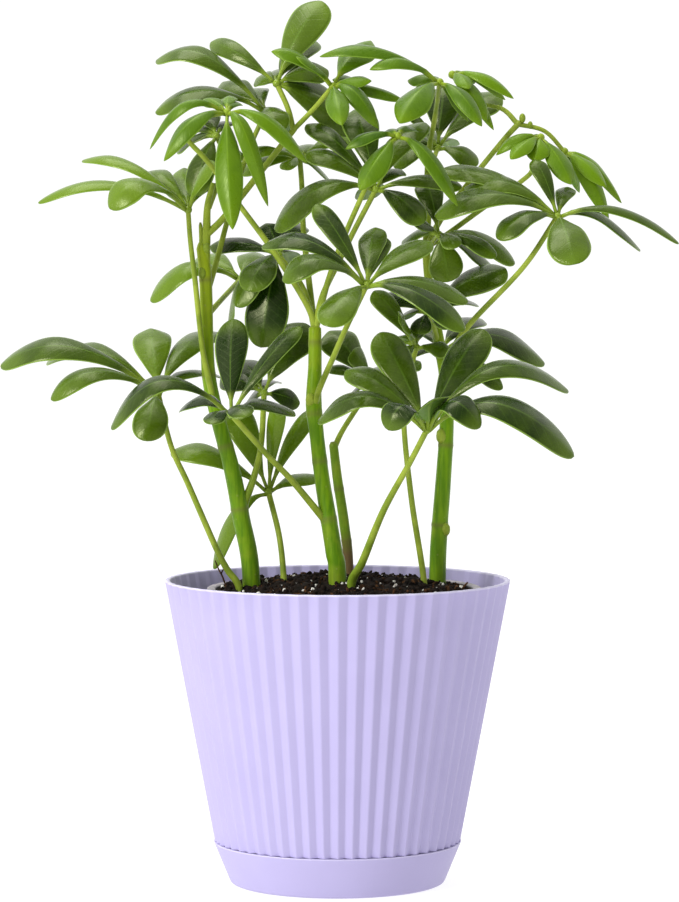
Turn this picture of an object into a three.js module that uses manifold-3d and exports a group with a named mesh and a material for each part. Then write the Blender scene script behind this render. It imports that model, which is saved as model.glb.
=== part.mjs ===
// Potted umbrella plant (dwarf schefflera): three green stems and a thin back stem stand in potting soil,
// in a dark grower's pot, inside a ribbed lavender pot that rests in its shallow saucer.
// Millimetres, +Z up, origin at the centre of the saucer's flat underside, front towards -Y.
import * as THREE from "three";
import { mergeVertices } from "three/addons/utils/BufferGeometryUtils.js";
import Module from "manifold-3d";

const wasm = await Module();
wasm.setup();

// Gap kept between pieces that touch.
const CLEAR = 0.3;

// Saucer: a straight flared wall on a flat floor.
const SAUCER = { base: 48, rim: 55.7, height: 18.6, wall: 1.9, floor: 2, edge: 1.2, sides: 48 };

// Ribbed pot. The ribbed wall overhangs a plain skirt, which nests in the saucer.
const POT = {
  ribs: 56, ribDepth: 1.2, height: 136, rim: 77.4, shoulder: 55.2, shoulderHeight: 18.9, wall: 2,
  skirtTop: 52.4, skirtBase: 45.4, skirtWall: 1.8, floorLow: 6, floorHigh: 8, baseSides: 32,
};
// Share of one rib's pitch taken by the ridge and by the valley; the two slopes share the rest.
const RIDGE_SHARE = 0.08;
const VALLEY_SHARE = 0.08;
const DRAIN = { radius: 4, circle: 28, count: 6 };

// Grower's pot of thin dark plastic, a little off centre, with a rolled lip.
const NURSERY = {
  x: 3, base: 41.5, rim: 59, low: 8.3, high: 129.5, wall: 1.2, lip: 61.2, lipHigh: 132.3, sides: 32,
};

// Soil: a low dome with small lumps.
const SOIL = { edge: 131, crown: 136.5, lump: 1.3, sides: 32, rings: 5 };

// Leaves.
const HUB_RADIUS = 2.2;
const ROOT_START = 1;
const BLADE_THICKNESS = 1.4;
const EDGE_DROP = 0.22;
const STALK_SHARE = 0.14;
const STALK_WIDTH = 1.6;
// Outline of a blade: blade ** swell * (1 - blade ** fill) ** blunt, brought to a greatest value of 1 by peak.
const GROWN = { swell: 0.8, fill: 3, blunt: 0.52, peak: 0.604 };
const YOUNG = { swell: 0.8, fill: 2, blunt: 0.8, peak: 0.466 };
const RING_SPACING = 12;
const FEWEST_RINGS = 3;
const MOST_RINGS = 5;
const TIP_CROWDING = 1.8;
const DEFAULT_RISE = 0.3;
const FACES = [-0.1, -0.6, 0.8];

// Colour, roughness and metalness of each finish.
const FINISH = {
  lavender: { color: 0xc9c1ee, roughness: 0.5 },
  darkPlastic: { color: 0x2a2b2a, roughness: 0.55 },
  soil: { color: 0x2a211b, roughness: 0.95 },
  stem: { color: 0x6f9c1c, roughness: 0.45 },
  leaf: { color: 0x2f6326, roughness: 0.35 },
  youngLeaf: { color: 0x7fb32c, roughness: 0.4 },
};

// Compound leaves. Each leaflet is [x, y, z from the hub to its tip, width, rise of its arch].
// faces is the way that the leaf's upper side looks.
const LEAVES = [
  { name: "leaf_far_left", hub: [-79, -22, 220], leaflets: [
    [-70, 4, 12, 15, 0.53], [-51, 28, 13, 14, 0.52], [-46, -18, -2, 12, 0.57], [-5, 30, 28, 17, 0.25],
    [25, 44, 26, 14], [26, 42, 6, 11], [-4, -20, -20, 15.5, 0.35]] },
  { name: "leaf_front_left", hub: [-46, -48, 212], leaflets: [
    [-52, -6, -6, 14, 0.85], [-23, 25, 1, 11, 0.45], [-8, -26, -3, 9.5, 0.3], [7, -28, 0, 11, 0.4],
    [0, 26, 41, 14.5, 0.1], [30, 10, 38, 10, 0.2], [27, 25, 0, 13]] },
  { name: "leaf_low_inner_left", hub: [-31, 8, 174.5], leaflets: [
    [-44, 5, 18, 14, 0.4], [-25, 4, -35, 9.5, 0.5], [-16, 11, 37.5, 14], [23, 14, 6, 9.5, 0.2],
    [22, 12, 37, 9.5], [5, -9, 40, 8.5]] },
  { name: "leaf_left_middle", hub: [-66, -14, 301], leaflets: [
    [-66, -4, 3, 8.5, 0.37], [-48, 18, 22, 7.5, 0.38], [-33, -26, 0, 16, 0.7], [-19, 22, 17, 9.5, 0.4],
    [-3, 30, 19, 11, 0.1], [12, -8, 21, 9.5], [12, 38, 10, 9.5]] },
  { name: "leaf_young_left", hub: [-48, -38, 343], young: true, leaflets: [
    [-34, 6, -16, 8, 0.78], [-27, -12, -21.5, 10.5, 0.5], [3, -22, -51, 11.5, 0.25], [18, -8, -41, 7, 0.7],
    [35, -4, -22, 8, 0.5], [1, 26, 7, 7], [5, 22, 4, 6], [-11, 14, 6, 7]] },
  { name: "leaf_top_left", hub: [-32, 8, 345], leaflets: [
    [-49, -10, -1, 14, 0.47], [-49.5, 8, 23, 13.5, 0.6], [6, -24, -10, 14, 0.5],
    [-20, 22, 14, 12], [8, 32, -8, 13], [-8, 38, 10, 13]] },
  { name: "leaf_top", hub: [-27, -4, 357], faces: [-0.25, -0.85, 0.45], leaflets: [
    [20, 8, 37, 19, 0.2], [17, 24, 20, 14], [23, 10, 6, 12], [27, 18, -7, 12], [34, 20, -22, 11, 0.3],
    [-9, 14, 3, 9.5], [0, 44, 6, 13], [-30, 19, 19, 9, 0.4]] },
  { name: "leaf_young_top", hub: [-2, -22, 355], young: true, leaflets: [
    [4, -26, -18, 9.5, 0.3], [-27, -4, 15, 8, 0.4], [-16, -14, 12, 7, 0.3], [17, -6, 2, 9, 0.3],
    [17, 22, 21, 15], [31, 4, -6, 8, 0.2], [20, -12, -19, 9, 0.6], [10, 28, 3, 9]] },
  { name: "leaf_young_top_right", hub: [45, -16, 357], young: true, leaflets: [
    [-53, -4, 11, 9, 0.4], [-31, -10, 5, 9, 0.5], [-14, 8, 1, 8], [-18, -26, -19, 15, 0.3],
    [18, -18, -20, 8, 0.35], [13, 6, -17, 5], [-9, 30, -2, 9]] },
  { name: "leaf_young_right_shoulder", hub: [51, -2, 361], young: true, leaflets: [
    [27, -8, -11, 6.5, 0.4], [24, 6, -11, 7, 0.5], [15, -14, -21, 9, 0.35], [7, -16, -7, 7],
    [14, 20, -10, 7], [10, 24, -3, 8], [18, -12, -25, 5]] },
  { name: "leaf_young_right", hub: [90, -8, 333], young: true, leaflets: [
    [-20, -4, -8, 7, 0.5], [-14, -14, -10, 8], [-3, -10, -11, 10], [13, -12, -21, 10, 0.2],
    [-6, 24, -4, 8], [1, 24, -9, 8]] },
  { name: "leaf_young_far_right", hub: [101, 0, 327], young: true, leaflets: [
    [26, 4, -23, 7, 0.45], [18, -10, -16, 8, 0.3], [19.5, -6, -30, 8.5, 0.45], [8, 20, -18, 8],
    [20, 24, -20, 8]] },
  { name: "leaf_far_right", hub: [96.5, -26, 298], leaflets: [
    [-27, -12, -10, 14, 0.45], [5.5, -32, -21, 18.5, 0.3], [-10, 8, 25, 8, 0.3], [6, 20, 13, 8.5],
    [54, 6, -12, 7, 0.4], [38, 20, -15, 11, 0.45], [-41, 6, 12, 13, 0.48], [-54, -2, 0, 15, 0.45],
    [-52, 12, 20, 12, 0.3]] },
  { name: "leaf_front_middle", hub: [12.5, -58, 268], leaflets: [
    [-45, 6, 17, 13, 0.5], [-36, -12, 2, 14, 0.65], [-17, -28, -17, 16, 0.3], [-22, 14, 35, 10, 0.2],
    [8, 22, 21, 9.5, 0.15], [28, 14, 19, 14, 0.2], [44, 2, -7, 12, 0.3], [42, -14, -19, 13, 0.35],
    [4, 26, 25, 12, 0.2]] },
  { name: "leaf_front_right", hub: [38.5, -62, 206], leaflets: [
    [-47, 2, 3, 13, 0.69], [-35, 14, 25, 13, 0.35], [-20, 22, 41.5, 16, 0.15], [25, 18, 43, 17.5, 0.15],
    [62, 16, 16, 13, 0.72], [63, -8, -11, 17.5, 0.7], [22, -24, 2, 14, 0.95], [-17, -24, 1, 15, 0.95],
    [3, -22, 14, 16, 0.4]] },
  { name: "leaf_right_low", hub: [47, 38, 237], leaflets: [
    [48, 4, -6, 16, 0.56], [28, -10, -17, 9.5], [-10, 30, 12, 12], [20, 34, 14, 13], [-22, 22, -8, 12],
    [8, 20, -20, 12]] },
  { name: "leaf_right_middle", hub: [40, -8, 255], leaflets: [
    [35, 2, 20, 20.5, 0.2], [-4, -8, -9, 9.5], [-20, 10, 8, 12], [10, -18, -6, 9.5], [22, 28, 4, 13],
    [-12, 28, -4, 13]] },
  { name: "leaf_right_inner", hub: [45, -6, 290], leaflets: [
    [34, 2, -13, 12, 0.42], [25, -12, -10, 8.5, 0.3], [7, -16, -6, 8.5], [-13, -10, 10, 13, 0.1],
    [4, -4, -21, 15, 0.2], [26, 18, -16, 13, 0.2], [-16, 14, -3, 11],
    [-6, 14, 24, 12]] },
  { name: "leaf_middle", hub: [17, -14, 310], leaflets: [
    [-31, 8, 16, 11, 0.3], [-31, 18, 29, 9.5, 0.3], [-45, 4, -18, 17.5, 0.5], [21, -12, -15, 13, 0.3],
    [11, 14, 9, 12], [-9, 24, 36, 16], [22, 20, 30, 14], [-4, 34, -4, 13], [38, -2, 1, 10, 0.25]] },
  { name: "leaf_young_middle", hub: [26.5, -34, 333], young: true, leaflets: [
    [-17, -14, -24, 12, 0.2], [26, -8, -31, 7.5, 0.45], [-6, 20, 1, 8], [8, 22, 3, 8],
    [-23, -6, -6, 7, 0.4]] },
  { name: "leaf_top_right_inner", hub: [45.5, 34, 329.5], leaflets: [
    [3, 8, 28, 19], [28, 6, 25, 19], [18, -6, -8, 11, 0.3], [-20, -4, -9, 12, 0.4], [-16, 4, 4, 12],
    [6, 34, 2, 13], [-8, 30, 6, 13], [-14, -10, 16, 9, 0.35]] },
  { name: "leaf_inner_left", hub: [-26, -2, 281], leaflets: [
    [-8, -9, -41, 19.5, 0.25], [-19, -8, -23, 13, 0.3], [-13, -22, -16, 16, 0.4], [-31, 14, 4, 11, 0.2],
    [-6, 10, 14, 11], [9, 22, 14, 13], [4, 34, -4, 13]] },
  { name: "leaf_left_back", hub: [-44, 30, 270], leaflets: [
    [-41, -2, -10, 13.5, 0.6], [14, 16, 4, 12], [-20, 26, 10, 12], [-6, 14, -20, 11], [6, 24, 12, 12],
    [20, 8, -10, 11]] },
  { name: "leaf_middle_left", hub: [-17, 20, 324], leaflets: [
    [-27, -6, 0, 8.5, 0.4], [-27, 6, -6, 11, 0.3], [-7, -12, -5, 7.5], [8, 26, 6, 12], [-10, 28, 4, 12],
    [14, 14, -10, 11], [26, 8, 10, 11, 0.3]] },
  { name: "leaf_left_inner", hub: [-54, 3, 334], leaflets: [
    [-10, -12, -27, 13, 0.3], [-4, 14, 10, 9.5], [9, 17, -8, 11], [-14, 22, 2, 11], [6, 26, 6, 11],
    [-18, 16, -6, 11]] },
  { name: "leaf_low_right_inner", hub: [35, -10, 240], leaflets: [
    [-19, 2, 25, 11], [-8, -12, 15, 9.5], [15, -4, -2, 9.5], [-10, -16, -4, 9.5], [-12, 24, 2, 11],
    [2, 30, 8, 12]] },
  { name: "leaf_low_middle_back", hub: [16, 32, 222], leaflets: [
    [-21, 2, 7, 6.5, 0.3], [-20, 10, 24, 18.5], [-9, -6, 16, 11], [-12, 18, -8, 12], [22, 10, 10, 12],
    [6, 32, 6, 13], [12, 16, -12, 11]] },
  { name: "leaf_low_left_back", hub: [-33, 10, 219], faces: [-0.1, -0.85, 0.5], leaflets: [
    [19, 12, 31, 20], [16, 6, -5, 9.5], [-10, 22, 14, 12], [-20, 18, 6, 12], [2, 36, 4, 13],
    [-11, 26, -10, 10]] },
];

// Stems and stalks. Every point is [x, y, z, radius]. A limb with a leaf ends just under that leaf's hub.
const STEM_SIDES = 8;
const STALK_SIDES = 5;
const STEMS = [
  { name: "stem_left", limbs: [
    { points: [[-38.5, -8, 85, 4.1], [-38.5, -8, 138, 4], [-43, -9, 165, 3.9], [-47, -10, 186, 3.6],
      [-53, -10, 208, 3.3], [-57, -8, 226, 3.1], [-58, -8, 245, 2.9], [-58.5, -8, 270, 2.8],
      [-60, -8, 284, 2.6], [-60.3, -8, 287, 1.1], [-60.8, -8, 295.5, 0.8]] },
    { points: [[-58.5, -8, 274, 2], [-58, -9, 292, 1.8], [-57.5, -9, 303, 1.5], [-55, -9, 313, 1.2]] },
    { points: [[-58, -9, 290, 1.6], [-50, -8, 298, 1.5], [-34, -5, 318, 1.4], [-19, -5, 337, 1.3]] },
    { leaf: "leaf_top", points: [[-19.5, -5, 336, 1.3], [-22, -5, 346, 1.2]] },
    { leaf: "leaf_young_top", points: [[-20, -5, 336, 1.2], [-10, -12, 346, 1.1]] },
    { leaf: "leaf_left_middle", points: [[-54, -10, 212, 1.6], [-59, -13, 235, 1.3], [-61, -13.5, 250, 1.2],
      [-63, -14, 270, 1.2], [-65, -14, 287, 1.1]] },
    { leaf: "leaf_top_left", points: [[-58, -7.5, 264, 1.5], [-54, 0, 278, 1.3], [-49, 4, 297, 1.2],
      [-43, 7, 318, 1.2], [-38, 8, 332, 1.1]] },
    { leaf: "leaf_left_back", points: [[-58, -7, 254, 1.4], [-52, 6, 261, 1.2]] },
    { leaf: "leaf_left_inner", points: [[-57, -9, 302, 1.3], [-53, 1, 314, 1.1], [-51, 6, 326, 1.1]] },
    { leaf: "leaf_low_left_back", points: [[-43.5, -9, 164, 2.6], [-41, -8.5, 172, 1.9], [-37, -8, 183, 1.5],
      [-34, -4, 197, 1.3]] },
  ] },
  { name: "stem_middle", limbs: [
    { points: [[0, -18, 85, 4], [0, -18, 138, 4], [-1.6, -18, 150, 3.8], [-4.2, -17, 166, 3.6],
      [-6.8, -16, 182, 3.4], [-9, -15, 200, 3.2], [-10.5, -14, 215, 3.6], [-10, -12, 232, 3],
      [-10, -10, 250, 2.8]] },
    { leaf: "leaf_front_left", points: [[-5, -17, 163, 1.7], [-20, -28, 182, 1.4], [-30, -36, 193, 1.3]] },
    { leaf: "leaf_young_left", points: [[-10, -10, 247, 1.5], [-13, -12, 258, 1.4], [-27, -20, 281, 1.3],
      [-43, -26, 303, 1.2], [-56, -30, 321, 1.2], [-65, -31, 331, 1.1], [-66, -30, 337, 1.1],
      [-59, -29, 341, 1.1]] },
    { leaf: "leaf_front_middle", points: [[-10, -14, 214, 1.6], [-8, -22, 222, 1.4], [-2, -34, 236, 1.3],
      [4, -45, 250, 1.2]] },
    { leaf: "leaf_middle", points: [[-10, -10, 247, 1.5], [-7, -12, 262, 1.3], [0, -14, 277, 1.3],
      [8, -14, 293, 1.2]] },
    { leaf: "leaf_young_middle", points: [[-10, -10, 247, 1.5], [-4, -16, 270, 1.3], [5, -24, 294, 1.2],
      [20, -33, 326, 1.1]] },
    { leaf: "leaf_inner_left", points: [[-10, -10, 248, 1.5], [-15, -6.5, 266, 1.1]] },
    { leaf: "leaf_middle_left", points: [[-10, -9, 247, 1.5], [-15, 4, 290, 1.3], [-16, 12, 312, 1.2]] },
  ] },
  { name: "stem_right", limbs: [
    { points: [[45, 6, 85, 3.8], [45, 6, 138, 3.8], [46, 6, 160, 3.7], [47.5, 6, 180, 3.5], [49, 7, 205, 3.2],
      [48.5, 8, 225, 2.8], [45, 9, 245, 2.5], [42, 10, 262, 2], [40, 11, 280, 1.8], [40.5, 12, 300, 1.7],
      [40.5, 13, 320, 1.4], [42, 14, 335, 1.2]] },
    { points: [[40, 11, 284, 1.5], [45, 4, 295, 1.4], [52, -2, 305, 1.3], [72, -6, 330, 1.2],
      [81, -5, 340, 1.4]] },
    { leaf: "leaf_young_top_right", points: [[42, 14, 333, 1.2], [44, 4, 346, 1.1]] },
    { leaf: "leaf_young_right_shoulder", points: [[80, -5, 339, 1.2], [73, -1, 346, 1.1], [59, 3, 350, 1]] },
    { leaf: "leaf_young_right", points: [[41, 11, 285, 1.4], [50, 6, 291, 1.2], [65, 0, 302, 1.2],
      [82, -6, 314, 1.1], [87, -7, 320, 1.1]] },
    { leaf: "leaf_young_far_right", points: [[80, -5, 339, 1.1], [92, -3, 336, 1]] },
    { leaf: "leaf_far_right", points: [[48, 8, 226, 1.6], [52, -2, 240, 1.4], [60, -12, 252, 1.3],
      [82, -22, 276, 1.2]] },
    { leaf: "leaf_right_low", points: [[48, 8, 214, 1.4], [49, 18, 228, 1.2]] },
    { leaf: "leaf_right_middle", points: [[45, 9, 242, 1.3], [43, 1, 249, 1.1]] },
    { leaf: "leaf_right_inner", points: [[40.5, 12, 282, 1.3], [42, 4, 286, 1.1]] },
    { leaf: "leaf_top_right_inner", points: [[40.5, 13, 316, 1.2], [43, 22, 323, 1.1]] },
  ] },
  { name: "stem_back", limbs: [
    { points: [[5, 14, 85, 2.3], [5, 14, 138, 2.3], [3, 13, 160, 2.3], [0, 13, 180, 2.2], [-2, 14, 197, 2]] },
    { leaf: "leaf_low_middle_back", points: [[-1.5, 14, 194, 1.4], [3, 18, 203, 1.2]] },
  ] },
  { name: "leaf_stalk_far_left", limbs: [
    { leaf: "leaf_far_left", points: [[-43.5, -16, 115, 1.7], [-43.5, -16, 133, 1.6], [-49, -17, 142, 1.5],
      [-54, -18, 152, 1.4], [-66, -20, 180, 1.3], [-73.5, -21, 197, 1.2]] },
  ] },
  { name: "leaf_stalk_low_inner_left", limbs: [
    { leaf: "leaf_low_inner_left", points: [[-24, -5, 115, 1.5], [-24, -5, 136, 1.4], [-26, -1, 155, 1.3]] },
  ] },
  { name: "leaf_stalk_front_right", limbs: [
    { leaf: "leaf_front_right", points: [[6, -28, 115, 2.1], [6, -28, 136, 2], [11, -36, 147, 1.8],
      [20, -46, 170, 1.5], [31, -56, 191, 1.3]] },
  ] },
  { name: "leaf_stalk_low_right_inner", limbs: [
    { leaf: "leaf_low_right_inner", points: [[38.5, -8, 115, 1.5], [38.5, -8, 136, 1.4], [33, -10, 172, 1.3],
      [29.5, -12, 206, 1.2], [31, -12, 224, 1.1]] },
  ] },
];

// A closed three.js geometry as a solid, with its shared vertices merged.
function solidOf(geometry) {
  geometry.deleteAttribute("normal");
  geometry.deleteAttribute("uv");
  const merged = mergeVertices(geometry, 1e-4);
  return new wasm.Manifold(new wasm.Mesh({
    numProp: 3,
    vertProperties: new Float32Array(merged.attributes.position.array),
    triVerts: new Uint32Array(merged.index.array),
  }));
}

// A solid as a named mesh in the given finish.
function meshOf(name, solid, finish) {
  const { vertProperties, triVerts, numProp } = solid.getMesh();
  const position = new Float32Array((vertProperties.length / numProp) * 3);
  for (let i = 0; i < position.length / 3; i += 1) {
    for (let axis = 0; axis < 3; axis += 1) {
      position[i * 3 + axis] = vertProperties[i * numProp + axis];
    }
  }
  const geometry = new THREE.BufferGeometry();
  geometry.setAttribute("position", new THREE.BufferAttribute(position, 3));
  geometry.setIndex(new THREE.BufferAttribute(new Uint32Array(triVerts), 1));
  geometry.computeVertexNormals();
  const mesh = new THREE.Mesh(geometry, new THREE.MeshStandardMaterial({ metalness: 0, ...FINISH[finish] }));
  mesh.name = name;
  return mesh;
}

// One solid from many that overlap.
function fused(solids) {
  return solids.reduce((whole, next) => whole.add(next));
}

// A ring of material turned round the Z axis. The outline is a closed list of [radius, z],
// drawn anticlockwise with the radius to the right, and reshape may move each turned point.
function turned(outline, sides, reshape = null) {
  const profile = [...outline, outline[0]].map(([radius, z]) => new THREE.Vector2(radius, z));
  const geometry = new THREE.LatheGeometry(profile, sides).rotateX(Math.PI / 2);
  if (reshape) {
    const position = geometry.attributes.position;
    const point = new THREE.Vector3();
    for (let i = 0; i < position.count; i += 1) {
      reshape(point.fromBufferAttribute(position, i));
      position.setXYZ(i, point.x, point.y, point.z);
    }
  }
  return solidOf(geometry);
}

// A round bar with a radius of its own at each point of its path.
function limb(points, sides, grow = 0) {
  const last = points.length - 1;
  const path = points.map(([x, y, z]) => new THREE.Vector3(x, y, z));
  const geometry = new THREE.CylinderGeometry(1, 1, 1, sides, last);
  const turns = [];
  let along = new THREE.Vector3(0, 1, 0);
  let turn = new THREE.Quaternion();
  path.forEach((at, i) => {
    const ahead = path[Math.min(i + 1, last)].clone().sub(path[Math.max(i - 1, 0)]).normalize();
    turn = new THREE.Quaternion().setFromUnitVectors(along, ahead).multiply(turn);
    along = ahead;
    turns.push(turn);
  });
  const position = geometry.attributes.position;
  const point = new THREE.Vector3();
  for (let i = 0; i < position.count; i += 1) {
    point.fromBufferAttribute(position, i);
    const ring = Math.round((point.y + 0.5) * last);
    const radius = points[ring][3] + grow;
    point.set(point.x * radius, 0, point.z * radius).applyQuaternion(turns[ring]).add(path[ring]);
    position.setXYZ(i, point.x, point.y, point.z);
  }
  return solidOf(geometry);
}

function ball(x, y, z, radius, detail = 0) {
  return solidOf(new THREE.IcosahedronGeometry(radius, detail).translate(x, y, z));
}

// Half-width of a leaflet at a share of its length, from a narrow stalk to the tip.
function halfWidth(share, width, { swell, fill, blunt, peak }) {
  const blade = Math.max(0, (share - STALK_SHARE) / (1 - STALK_SHARE));
  const outline = (blade ** swell * (1 - blade ** fill) ** blunt) / peak;
  return (STALK_WIDTH / 2) * (1 - blade) + (width / 2) * outline;
}

// One arched leaflet: a thin blade, thickest along its midrib, with its edges a little lower.
function leaflet(hub, [x, y, z, width, rise = DEFAULT_RISE], faces, outline) {
  const reach = new THREE.Vector3(x, y, z);
  const root = new THREE.Vector3(...hub).add(reach.clone().setLength(ROOT_START));
  const tip = new THREE.Vector3(...hub).add(reach);
  const upper = new THREE.Vector3(...faces).normalize();
  const crown = root.clone().add(tip).multiplyScalar(0.5).addScaledVector(upper, rise * reach.length());
  const midrib = new THREE.QuadraticBezierCurve3(root, crown, tip);
  const rings = THREE.MathUtils.clamp(Math.ceil(reach.length() / RING_SPACING), FEWEST_RINGS, MOST_RINGS);
  const corners = [];
  for (let ring = 0; ring < rings; ring += 1) {
    const share = 1 - (1 - ring / rings) ** TIP_CROWDING;
    const at = midrib.getPoint(share);
    const along = midrib.getTangent(share);
    const side = along.clone().cross(upper).normalize();
    const up = side.clone().cross(along);
    const half = halfWidth(share, width, outline);
    corners.push(
      at.clone().addScaledVector(side, -half).addScaledVector(up, -EDGE_DROP * half),
      at.clone().addScaledVector(up, BLADE_THICKNESS / 2),
      at.clone().addScaledVector(side, half).addScaledVector(up, -EDGE_DROP * half),
      at.clone().addScaledVector(up, -BLADE_THICKNESS / 2),
    );
  }
  corners.push(tip);
  return solidOf(bladeGeometry(corners));
}

// Skin over rings of four corners (left, top, right, underside) that end in one tip.
// Both faces of each half are split along the same diagonal, so they stay apart where the blade twists.
function bladeGeometry(corners) {
  const faces = [0, 2, 1, 0, 3, 2];
  const tip = corners.length - 1;
  for (let left = 0; left < tip; left += 4) {
    const [top, right, under] = [left + 1, left + 2, left + 3];
    if (left + 4 === tip) {
      faces.push(left, top, tip, top, right, tip, right, under, tip, under, left, tip);
    } else {
      const [nextLeft, nextTop, nextRight, nextUnder] = [left + 4, top + 4, right + 4, under + 4];
      faces.push(left, nextTop, nextLeft, left, top, nextTop);
      faces.push(right, nextRight, nextTop, right, nextTop, top);
      faces.push(right, nextUnder, nextRight, right, under, nextUnder);
      faces.push(left, nextLeft, nextUnder, left, nextUnder, under);
    }
  }
  const geometry = new THREE.BufferGeometry();
  geometry.setAttribute("position", new THREE.Float32BufferAttribute(corners.flatMap((p) => p.toArray()), 3));
  geometry.setIndex(faces);
  return geometry;
}

function leafHead({ hub, leaflets, faces = FACES, young }) {
  const outline = young ? YOUNG : GROWN;
  return fused([ball(...hub, HUB_RADIUS), ...leaflets.map((blade) => leaflet(hub, blade, faces, outline))]);
}

// The points of a limb, with its end just under the hub of the leaf that it carries.
function limbPoints({ points, leaf }) {
  if (!leaf) {
    return points;
  }
  const hub = new THREE.Vector3(...LEAVES.find(({ name }) => name === leaf).hub);
  const [x, y, z, radius] = points[points.length - 1];
  const end = new THREE.Vector3(x, y, z).sub(hub).setLength(HUB_RADIUS + CLEAR).add(hub);
  return [...points, [end.x, end.y, end.z, radius]];
}

function stemSolid({ limbs }, grow = 0) {
  return fused(limbs.map((part) => limb(limbPoints(part), part.leaf ? STALK_SIDES : STEM_SIDES, grow)));
}

// The hole that a stem or stalk stands in: the part of it in the soil, with room all round.
function soilHole({ limbs }) {
  const [foot, top] = limbPoints(limbs[0]);
  const sides = limbs[0].leaf ? STALK_SIDES : STEM_SIDES;
  const above = [top[0], top[1], SOIL.crown + 5, top[3]];
  return limb([[foot[0], foot[1], foot[2] - CLEAR, foot[3]], above], sides, CLEAR);
}

function saucerSolid() {
  const { base, rim, height, wall, floor, edge, sides } = SAUCER;
  const slope = (rim - base) / height;
  return turned([
    [0, 0], [base - edge, 0], [base + slope * edge, edge], [rim, height], [rim - wall, height],
    [base + slope * floor - wall, floor], [0, floor],
  ], sides);
}

// Angle of corner i of the ribbed ring: ridge start, ridge end, valley start, valley end.
function ribCorner(i) {
  const slope = (1 - RIDGE_SHARE - VALLEY_SHARE) / 2;
  const share = [0, RIDGE_SHARE, RIDGE_SHARE + slope, 1 - slope][i % 4];
  return ((Math.floor(i / 4) + share) * 2 * Math.PI) / POT.ribs;
}

// The inside or outside of the ribbed wall as a solid, from one height to another.
function ribbedCore(low, high, inset) {
  const { rim, shoulder, shoulderHeight, height, ribDepth, ribs } = POT;
  const slope = (rim - shoulder) / (height - shoulderHeight);
  const radiusAt = (z) => shoulder + slope * (z - shoulderHeight) - inset;
  const outline = [[0, low], [radiusAt(low), low], [radiusAt(high), high], [0, high]];
  return turned(outline, ribs * 4, (point) => {
    const radius = Math.hypot(point.x, point.y);
    if (radius > 1) {
      const turn = (Math.atan2(point.y, point.x) + 2 * Math.PI) % (2 * Math.PI);
      const corner = Math.round((turn / (2 * Math.PI)) * ribs * 4) % (ribs * 4);
      const ribbed = corner % 4 < 2 ? radius : radius - ribDepth;
      point.set(ribbed * Math.cos(ribCorner(corner)), ribbed * Math.sin(ribCorner(corner)), point.z);
    }
  });
}

function potSolid() {
  const { shoulderHeight, height, wall, skirtTop, skirtBase, skirtWall, floorLow, floorHigh, baseSides } = POT;
  const foot = SAUCER.floor + CLEAR;
  const skirtAt = (z) => skirtBase + ((skirtTop - skirtBase) * (z - foot)) / (shoulderHeight - foot);
  const flangeTop = shoulderHeight + wall;
  const outside = ribbedCore(shoulderHeight, height, 0).add(turned([
    [0, floorLow], [skirtAt(floorLow) - skirtWall, floorLow], [skirtBase - skirtWall, foot], [skirtBase, foot],
    [skirtTop, shoulderHeight], [skirtTop, flangeTop - 1], [0, flangeTop - 1],
  ], baseSides));
  const inside = ribbedCore(flangeTop, height + 1, wall).add(turned([
    [0, floorHigh], [skirtAt(floorHigh) - skirtWall, floorHigh], [skirtTop - skirtWall, shoulderHeight],
    [skirtTop - skirtWall, flangeTop + 1], [0, flangeTop + 1],
  ], baseSides));
  return outside.subtract(inside).subtract(drainHoles(floorLow, floorHigh));
}

// Drain holes through a floor: one in the middle and a ring round it.
function drainHoles(low, high, x = 0) {
  const holes = [];
  for (let i = 0; i <= DRAIN.count; i += 1) {
    const angle = (i * 2 * Math.PI) / DRAIN.count;
    const out = i === DRAIN.count ? 0 : DRAIN.circle;
    const hole = new THREE.CylinderGeometry(DRAIN.radius, DRAIN.radius, high - low + 2, 8).rotateX(Math.PI / 2);
    hole.translate(x + out * Math.cos(angle), out * Math.sin(angle), (low + high) / 2);
    holes.push(solidOf(hole));
  }
  return fused(holes);
}

function nurserySolid() {
  const { x, base, rim, low, high, wall, lip, lipHigh, sides } = NURSERY;
  const shell = turned([
    [0, low], [base, low], [rim, high], [lip, high], [lip + 0.4, (high + lipHigh) / 2], [lip - 0.4, lipHigh],
    [rim - wall + 0.4, lipHigh], [rim - wall, lipHigh - 0.8], [base - wall, low + wall], [0, low + wall],
  ], sides).translate([x, 0, 0]);
  return shell.subtract(drainHoles(low, low + wall, x));
}

function soilSolid() {
  const { x, base, rim, low, high, wall } = NURSERY;
  const floor = low + wall + CLEAR;
  const room = wall + CLEAR + 0.1;
  const slope = (rim - base) / (high - low);
  const edgeRadius = base + slope * (SOIL.edge - low) - room;
  const top = [];
  for (let ring = 0; ring < SOIL.rings; ring += 1) {
    const share = 1 - ring / SOIL.rings;
    top.push([edgeRadius * share, SOIL.edge + (SOIL.crown - SOIL.edge) * (1 - share ** 2)]);
  }
  const outline = [[0, floor], [base + slope * (floor - low) - room, floor], ...top, [0, SOIL.crown]];
  const lump = (point) => {
    const out = Math.hypot(point.x, point.y);
    if (point.z > SOIL.edge - 1 && out < edgeRadius - 2) {
      point.z += SOIL.lump * Math.sin(point.x * 0.31 + 1) * Math.cos(point.y * 0.27);
    }
  };
  const heap = turned(outline, SOIL.sides, lump).translate([x, 0, 0]);
  return STEMS.reduce((soil, stem) => soil.subtract(soilHole(stem)), heap);
}

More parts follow.
